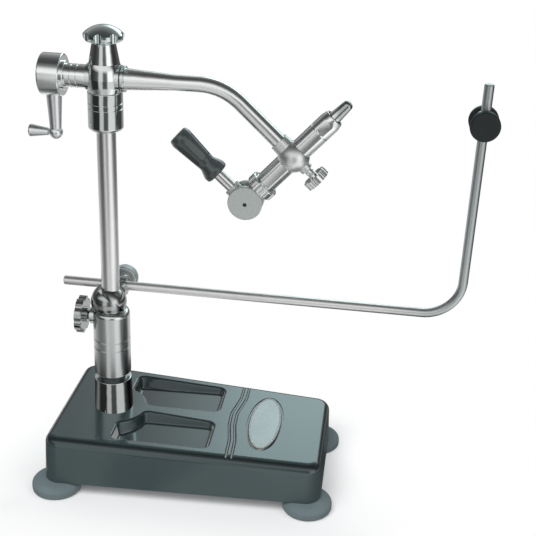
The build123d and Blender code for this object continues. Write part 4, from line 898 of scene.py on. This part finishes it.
class Tree:
    """A Geometry Nodes tree that is built up node by node."""

    # Edges sharper than these stay crisp or get the chamfer, in degrees
    CRISP = 40.0
    CHAMFERED = 60.0

    def __init__(self, name: str, inputs: dict[str, str]) -> None:
        """Start a tree with named inputs.

        Args:
            name: The tree's name.
            inputs: Names with their socket types.
        """
        self.tree = bpy.data.node_groups.new(name, "GeometryNodeTree")
        face = self.tree.interface
        self.keys = {key: face.new_socket(key, in_out="INPUT", socket_type=kind).identifier
                     for key, kind in inputs.items()}
        face.new_socket("Geometry", in_out="OUTPUT", socket_type="NodeSocketGeometry")
        self.given = self.tree.nodes.new("NodeGroupInput")
        self.result = self.tree.nodes.new("NodeGroupOutput")

    def node(self, kind: str, inputs: dict[str | int, Any], **settings: Any) -> bpy.types.Node:
        """Add a node.

        Args:
            kind: The node's type.
            inputs: Numbers, sockets, or the name of one of the tree's inputs.
            settings: The node's properties.

        Returns:
            The node.
        """
        made = self.tree.nodes.new(kind)
        for key, value in settings.items():
            setattr(made, key, value)
        for key, value in inputs.items():
            if isinstance(value, str):
                self.tree.links.new(self.given.outputs[value], made.inputs[key])
            elif isinstance(value, bpy.types.NodeSocket):
                self.tree.links.new(value, made.inputs[key])
            else:
                made.inputs[key].default_value = value
        return made

    def out(self, kind: str, inputs: dict[str | int, Any], **settings: Any) -> bpy.types.NodeSocket:
        """Add a node and give its first output."""
        return self.node(kind, inputs, **settings).outputs[0]

    def sweep(self, route: bpy.types.NodeSocket, sides: Any, radius: str) -> bpy.types.NodeSocket:
        """A closed tube along a curve, with a number of sides and a radius."""
        section = self.out("GeometryNodeCurvePrimitiveCircle", {"Resolution": sides, "Radius": radius})
        return self.out("GeometryNodeCurveToMesh",
                        {"Curve": route, "Profile Curve": section, "Fill Caps": True})

    def end(self, geometry: bpy.types.NodeSocket) -> Tree:
        """Realize what the tree made and give it its material.

        Args:
            geometry: The last geometry.

        Returns:
            The tree itself.
        """
        real = self.out("GeometryNodeRealizeInstances", {"Geometry": geometry})
        dressed = self.out("GeometryNodeSetMaterial", {"Geometry": real, "Material": "Material"})
        self.tree.links.new(dressed, self.result.inputs[0])
        return self

    def make(self, name: str, node: str, finish: Finish, place: Matrix, chamfer: float = 0.0,
             **values: Any) -> bpy.types.Object:
        """Run the tree once and keep the mesh as a piece.

        Args:
            name: The piece's name.
            node: A CAD node of the body that carries it.
            finish: Its finish.
            place: Where the tree's own axes go, in the frame.
            chamfer: Width of a chamfer along its sharp edges, in metres.
            values: The tree's inputs.

        Returns:
            The piece.
        """
        holder = linked(name + "_holder", bpy.data.meshes.new(name + "_holder"))
        run = holder.modifiers.new("run", "NODES")
        run.node_group = self.tree
        for key, value in {**values, "Material": Finishes.material(finish)}.items():
            run[self.keys[key]] = value
        if chamfer:
            ease = holder.modifiers.new("ease", "BEVEL")
            ease.width = chamfer
            ease.limit_method = "ANGLE"
            ease.angle_limit = math.radians(self.CHAMFERED)
        mesh = baked(holder)
        mesh.name = name
        mesh.transform(place)
        merge(mesh, FINE_MERGE, outward=True)
        mesh.shade_smooth()
        mesh.set_sharp_from_angle(angle=math.radians(self.CRISP))
        piece = linked(name, mesh)
        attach(piece, frame["nodes"][node]["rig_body"])
        LOG.info("%s: %d faces", name, len(mesh.polygons))
        return piece


@dataclass(frozen=True)
class Winding:
    """A thread with four sides, or a spring with many; sizes in millimetres."""

    radius: float
    length: float
    turns: float
    ridge: float
    sides: int = 4

    def values(self) -> dict[str, Any]:
        """The sizes as the inputs of the winding's tree."""
        return {"Radius": self.radius * MM, "Length": self.length * MM, "Turns": self.turns,
                "Ridge": self.ridge * MM, "Sides": self.sides}


class Repeats:
    """The trees that make what repeats or follows a path."""

    FLOAT = "NodeSocketFloat"
    COUNT = "NodeSocketInt"
    MATERIAL = "NodeSocketMaterial"
    TURN_STEPS = 32
    ROD_POINTS = 3
    BEND_STEPS = 28
    ROD_SIDES = 48
    RIDGE_SIDES = 6
    OVAL_STEPS = 128
    BEAD_LEVEL = 2

    def __init__(self) -> None:
        """Build every tree once."""
        self.winding = self.winding_tree()
        self.knurl = self.knurl_tree()
        self.beads = self.bead_tree()
        self.rod = self.rod_tree()

    def start(self, name: str, floats: Sequence[str], counts: Sequence[str] = ()) -> Tree:
        """A new tree with inputs for lengths, counts and the material."""
        kinds = {**dict.fromkeys(floats, self.FLOAT), **dict.fromkeys(counts, self.COUNT)}
        return Tree(name, {**kinds, "Material": self.MATERIAL})

    def winding_tree(self) -> Tree:
        """Make the tree of a ridge or wire wound up the Z axis.

        Returns:
            The tree.
        """
        tree = self.start("wound_ridge", ("Radius", "Length", "Turns", "Ridge"), ("Sides",))
        spiral = tree.out("GeometryNodeCurveSpiral", {
            "Resolution": self.TURN_STEPS, "Rotations": "Turns", "Start Radius": "Radius",
            "End Radius": "Radius", "Height": "Length"})
        return tree.end(tree.sweep(spiral, "Sides", "Ridge"))

    def rod_tree(self) -> Tree:
        """Make the tree of a round rod with one bend, from Left along X to Right and then up Z.

        Returns:
            The tree.
        """
        tree = self.start("bent_rod", ("Left", "Right", "Rise", "Bend", "Radius"))
        line = tree.out("GeometryNodeCurvePrimitiveLine", {})
        ends = tree.out("GeometryNodeResampleCurve", {"Curve": line, "Count": self.ROD_POINTS})
        index = tree.out("GeometryNodeInputIndex", {})
        level = tree.out("ShaderNodeMath", {0: index, 1: 1.0}, operation="MINIMUM")
        upper = tree.out("ShaderNodeMath", {0: index, 1: level}, operation="SUBTRACT")
        across = tree.out("ShaderNodeMapRange", {"Value": level, "To Min": "Left", "To Max": "Right"})
        height = tree.out("ShaderNodeMath", {0: upper, 1: "Rise"}, operation="MULTIPLY")
        place = tree.out("ShaderNodeCombineXYZ", {"X": across, "Z": height})
        route = tree.out("GeometryNodeSetPosition", {"Geometry": ends, "Position": place})
        corner = {"Curve": route, "Count": self.BEND_STEPS, "Radius": "Bend"}
        bent = tree.out("GeometryNodeFilletCurve", corner, mode="POLY")
        return tree.end(tree.sweep(bent, self.ROD_SIDES, "Radius"))

    def knurl_tree(self) -> Tree:
        """Make the tree of straight ridges round the Z axis.

        Returns:
            The tree.
        """
        tree = self.start("straight_knurl", ("Radius", "Length", "Ridge"), ("Count",))
        ring = tree.out("GeometryNodeMeshCircle", {"Vertices": "Count", "Radius": "Radius"})
        ridge = tree.out("GeometryNodeMeshCylinder", {
            "Vertices": self.RIDGE_SIDES, "Radius": "Ridge", "Depth": "Length"})
        return tree.end(tree.out("GeometryNodeInstanceOnPoints", {"Points": ring, "Instance": ridge}))

    def bead_tree(self) -> Tree:
        """Make the tree of beads at even steps round an oval.

        Returns:
            The tree.
        """
        tree = self.start("oval_beads", ("Half Width", "Half Length", "Bead"), ("Count",))
        ring = tree.out("GeometryNodeCurvePrimitiveCircle", {"Resolution": self.OVAL_STEPS, "Radius": 1.0})
        size = tree.out("ShaderNodeCombineXYZ", {"X": "Half Width", "Y": "Half Length", "Z": 1.0})
        oval = tree.out("GeometryNodeTransform", {"Geometry": ring, "Scale": size})
        even = tree.out("GeometryNodeResampleCurve", {"Curve": oval, "Count": "Count"})
        bead = tree.out("GeometryNodeMeshIcoSphere", {"Radius": "Bead", "Subdivisions": self.BEAD_LEVEL})
        return tree.end(tree.out("GeometryNodeInstanceOnPoints", {"Points": even, "Instance": bead}))


@dataclass
class Assembly:
    """A sub-assembly: the finish of each of its CAD nodes, and the details it adds; sizes in millimetres."""

    repeats: Repeats

    FINISHES: ClassVar[dict[str, Finish]] = {}

    def recesses(self) -> dict[str, list[Recess]]:
        """Recesses cut into this assembly's screws."""
        return {}

    def build(self) -> None:
        """Add details that the CAD leaves out; none by default."""

    def dress(self) -> None:
        """Give every node its smooth, finished copy."""
        recesses = self.recesses()
        for node, finish in self.FINISHES.items():
            smooth_copy(node, finish, recesses.get(node, ()))


@dataclass
class Base(Assembly):
    """The casting, its feet and the bare badge."""

    top: float = 33.2
    slope: float = 1.78
    badge_place: float = 88.7
    badge_half_width: float = 8.3
    badge_half_length: float = 25.7
    badge_rise: float = 0.5
    bead: float = 0.42
    beads: int = 128
    foot_places: tuple[Span, ...] = ((-22.8, -38.3), (117.2, -31.6), (117.2, 31.6), (-22.8, 38.3))
    slot_height: float = 0.8
    slot_reach: float = 3.2
    slot_depth: float = 0.9
    slot_narrow: float = 0.22

    FINISHES = {
        "base_casting": Finishes.PAINT, "badge_plate": Finishes.BADGE, "rubber_feet": Finishes.FEET,
        "foot_screws": Finishes.ZINC}

    def recesses(self) -> dict[str, list[Recess]]:
        """A slot in each foot screw."""
        shape = (Way.UP.value, self.slot_reach, self.slot_depth, SLOT_SIDES, self.slot_narrow)
        return {"foot_screws": [Recess((x, y, self.slot_height), *shape) for x, y in self.foot_places]}

    def build(self) -> None:
        """Bead the badge's rim."""
        lean = Matrix.Rotation(math.radians(self.slope), 4, "Y")
        place = Matrix.Translation(to_frame((0.0, 0.0, self.top))) @ lean
        place = place @ Matrix.Translation(Vector((self.badge_place, 0.0, self.badge_rise)) * MM)
        oval = {"Half Width": self.badge_half_width * MM, "Half Length": self.badge_half_length * MM}
        self.repeats.beads.make("badge_beads", "badge_plate", Finishes.BRIGHT, place, Count=self.beads,
                                Bead=self.bead * MM, **oval)


@dataclass
class Post(Assembly):
    """Collar, sleeve, stem and the screws that hold them."""

    screw_height: float = 89.9
    thread_left: float = -13.2
    thread: Winding = Winding(radius=2.4, length=2.2, turns=2.75, ridge=0.32)

    FINISHES = {
        "post_collar": Finishes.MIRROR, "post_gasket": Finishes.DARK_NECK_RING, "post_sleeve": Finishes.SATIN_UP,
        "post_bolt": Finishes.ZINC, "post_washer": Finishes.ZINC, "stem_pad": Finishes.BRASS,
        "stem_thumbscrew": Finishes.GREY, "stem": Finishes.STEM}

    def build(self) -> None:
        """Thread the shown stretch of the thumbscrew."""
        place = aimed((self.thread_left, 0.0, self.screw_height), Way.ACROSS.value)
        self.repeats.winding.make("stem_screw_thread", "stem_thumbscrew", Finishes.GREY, place,
                                  **self.thread.values())


@dataclass
class Cradle(Assembly):
    """Clamp, knob, bent arm and the rest."""

    knob_place: Place = (2.8, 17.0, 105.3)
    knob_radius: float = 7.15
    knob_thickness: float = 6.0
    ridges: int = 64
    ridge_length: float = 3.2
    ridge_radius: float = 0.26
    rod_radius: float = 2.5
    rod_bend: float = 20.0
    rod_chamfer: float = 0.4

    FINISHES = {
        "cradle_clamp": Finishes.GREY, "cradle_shoe": Finishes.BRASS, "cradle_knob": Finishes.DULL,
        "rest_barrel": Finishes.MIRROR, "rest_disc_rear": Finishes.DISC, "rest_disc_front": Finishes.DISC}

    def build(self) -> None:
        """Bend the arm from its rod and knurl the knob's rim."""
        low, high = (Vector(corner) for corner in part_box("cradle_arm"))
        radius = self.rod_radius * MM
        level = low.z + radius
        place = Matrix.Translation((0.0, (low.y + high.y) / 2.0, level))
        arm = self.repeats.rod.make("cradle_arm_dress", "cradle_arm", Finishes.CRADLE, place,
                                    self.rod_chamfer * MM, Left=low.x, Right=high.x - radius,
                                    Rise=high.z - level, Bend=self.rod_bend * MM, Radius=radius)
        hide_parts("cradle_arm")
        x, y, z = self.knob_place
        place = aimed((x, y + self.knob_thickness / 2.0, z), Way.DEEP.value)
        self.repeats.knurl.make("cradle_knob_knurl", "cradle_knob", Finishes.DULL, place, Count=self.ridges,
                                Radius=self.knob_radius * MM, Length=self.ridge_length * MM,
                                Ridge=self.ridge_radius * MM)


@dataclass
class Head(Assembly):
    """Housing, cap and brake on the stem."""

    grub_place: Place = (0.0, 8.42, 203.5)
    grub_inward: Place = (0.0, -1.0, 0.0)
    key_radius: float = 1.1
    key_depth: float = 1.2

    FINISHES = {
        "head_housing": Finishes.MIRROR, "bush_left": Finishes.ZINC, "bush_right": Finishes.ZINC,
        "head_cap": Finishes.MIRROR, "brake_shoe": Finishes.BRASS, "top_knob": Finishes.DOME,
        "stem_grub_screw": Finishes.OXIDE}

    def recesses(self) -> dict[str, list[Recess]]:
        """A key socket in the grub screw."""
        key = Recess(self.grub_place, self.grub_inward, self.key_radius, self.key_depth)
        return {"stem_grub_screw": [key]}


@dataclass
class Crank(Assembly):
    """Hub, spacer, lever and handle."""

    axis_height: float = 224.4
    screw_end: float = -31.5
    key_radius: float = 1.9
    key_depth: float = 1.3
    pin_end: float = -40.8
    throw: float = 30.2
    slot_reach: float = 1.7
    slot_depth: float = 0.45
    slot_narrow: float = 0.25

    FINISHES = {
        "crank_spacer": Finishes.CRANK, "crank_hub": Finishes.CRANK, "hub_screw": Finishes.OXIDE,
        "crank_lever": Finishes.PALE, "handle_pin": Finishes.ZINC, "crank_handle": Finishes.PALE}

    def recesses(self) -> dict[str, list[Recess]]:
        """A key socket in the hub's screw and a slot in the handle's pin.

        Returns:
            The recesses, by screw.
        """
        inward = Way.ACROSS.value
        screw = (self.screw_end, 0.0, self.axis_height)
        pin = (self.pin_end, 0.0, self.axis_height - self.throw)
        slot = Recess(pin, inward, self.slot_reach, self.slot_depth, SLOT_SIDES, self.slot_narrow)
        return {"hub_screw": [Recess(screw, inward, self.key_radius, self.key_depth)], "handle_pin": [slot]}


@dataclass
class JawHead(Assembly):
    """Rotary arm, ball, barrel and jaws."""

    ball: Place = (97.157, 0.0, 190.943)
    thread_start: float = 9.4
    thread: Winding = Winding(radius=2.0, length=4.7, turns=6.0, ridge=0.3)
    spring_start: float = -19.2
    spring: Winding = Winding(radius=2.9, length=26.4, turns=11.0, ridge=0.65, sides=12)

    FINISHES = {
        "rotary_arm": Finishes.ARM_STEEL, "ring_collar": Finishes.MIRROR, "jaw_ball": Finishes.PEARL,
        "jaw_pad": Finishes.BRASS, "jaw_thumbscrew": Finishes.BRIGHT, "jaw_barrel": Finishes.JAW,
        "adjusting_collar": Finishes.JAW, "jaw_lower": Finishes.TIPS, "jaw_upper": Finishes.TIPS,
        "jaw_pins": Finishes.ZINC, "draw_rod": Finishes.JAW}

    def from_ball(self, way: Way, distance: float) -> Matrix:
        """Axes at a distance from the ball's centre along a direction."""
        return aimed(Vector(self.ball) + Vector(way.value) * distance, way.value)

    def build(self) -> None:
        """Thread the thumbscrew and wind the return spring."""
        place = self.from_ball(Way.ARM, self.thread_start)
        self.repeats.winding.make("jaw_screw_thread", "jaw_thumbscrew", Finishes.BRIGHT, place,
                                  **self.thread.values())
        place = self.from_ball(Way.JAWS, self.spring_start)
        spring = self.repeats.winding.make("jaw_spring_dress", "jaw_spring", Finishes.ZINC, place,
                                           **self.spring.values())
        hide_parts("jaw_spring")


@dataclass
class CamLever(Assembly):
    """The cam with its pin, lever and grip."""

    FINISHES = {
        "cam_body": Finishes.CAM, "cam_pin": Finishes.OXIDE, "lever_rod": Finishes.LEVER,
        "lever_grip": Finishes.GRIP}


class Vise:
    """The whole dressed vise."""

    KINDS = (Base, Post, Cradle, Head, Crank, JawHead, CamLever)

    def __init__(self) -> None:
        """Gather the sub-assemblies."""
        repeats = Repeats()
        self.parts: list[Assembly] = [kind(repeats) for kind in self.KINDS]

    def build(self) -> None:
        """Build and dress every sub-assembly, and keep the casting out of the metal's reflections."""
        for part in self.parts:
            part.build()
            part.dress()
        bpy.data.objects["base_casting_dress"].visible_glossy = False


def main() -> None:
    """Build the studio and the vise."""
    logging.basicConfig(level=logging.INFO, format="%(name)s: %(message)s")
    scene = bpy.context.scene
    scene.view_settings.view_transform = "Standard"
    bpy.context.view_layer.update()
    Studio().build()
    Vise().build()
    bpy.context.view_layer.update()


if __name__ == "__main__":
    main()
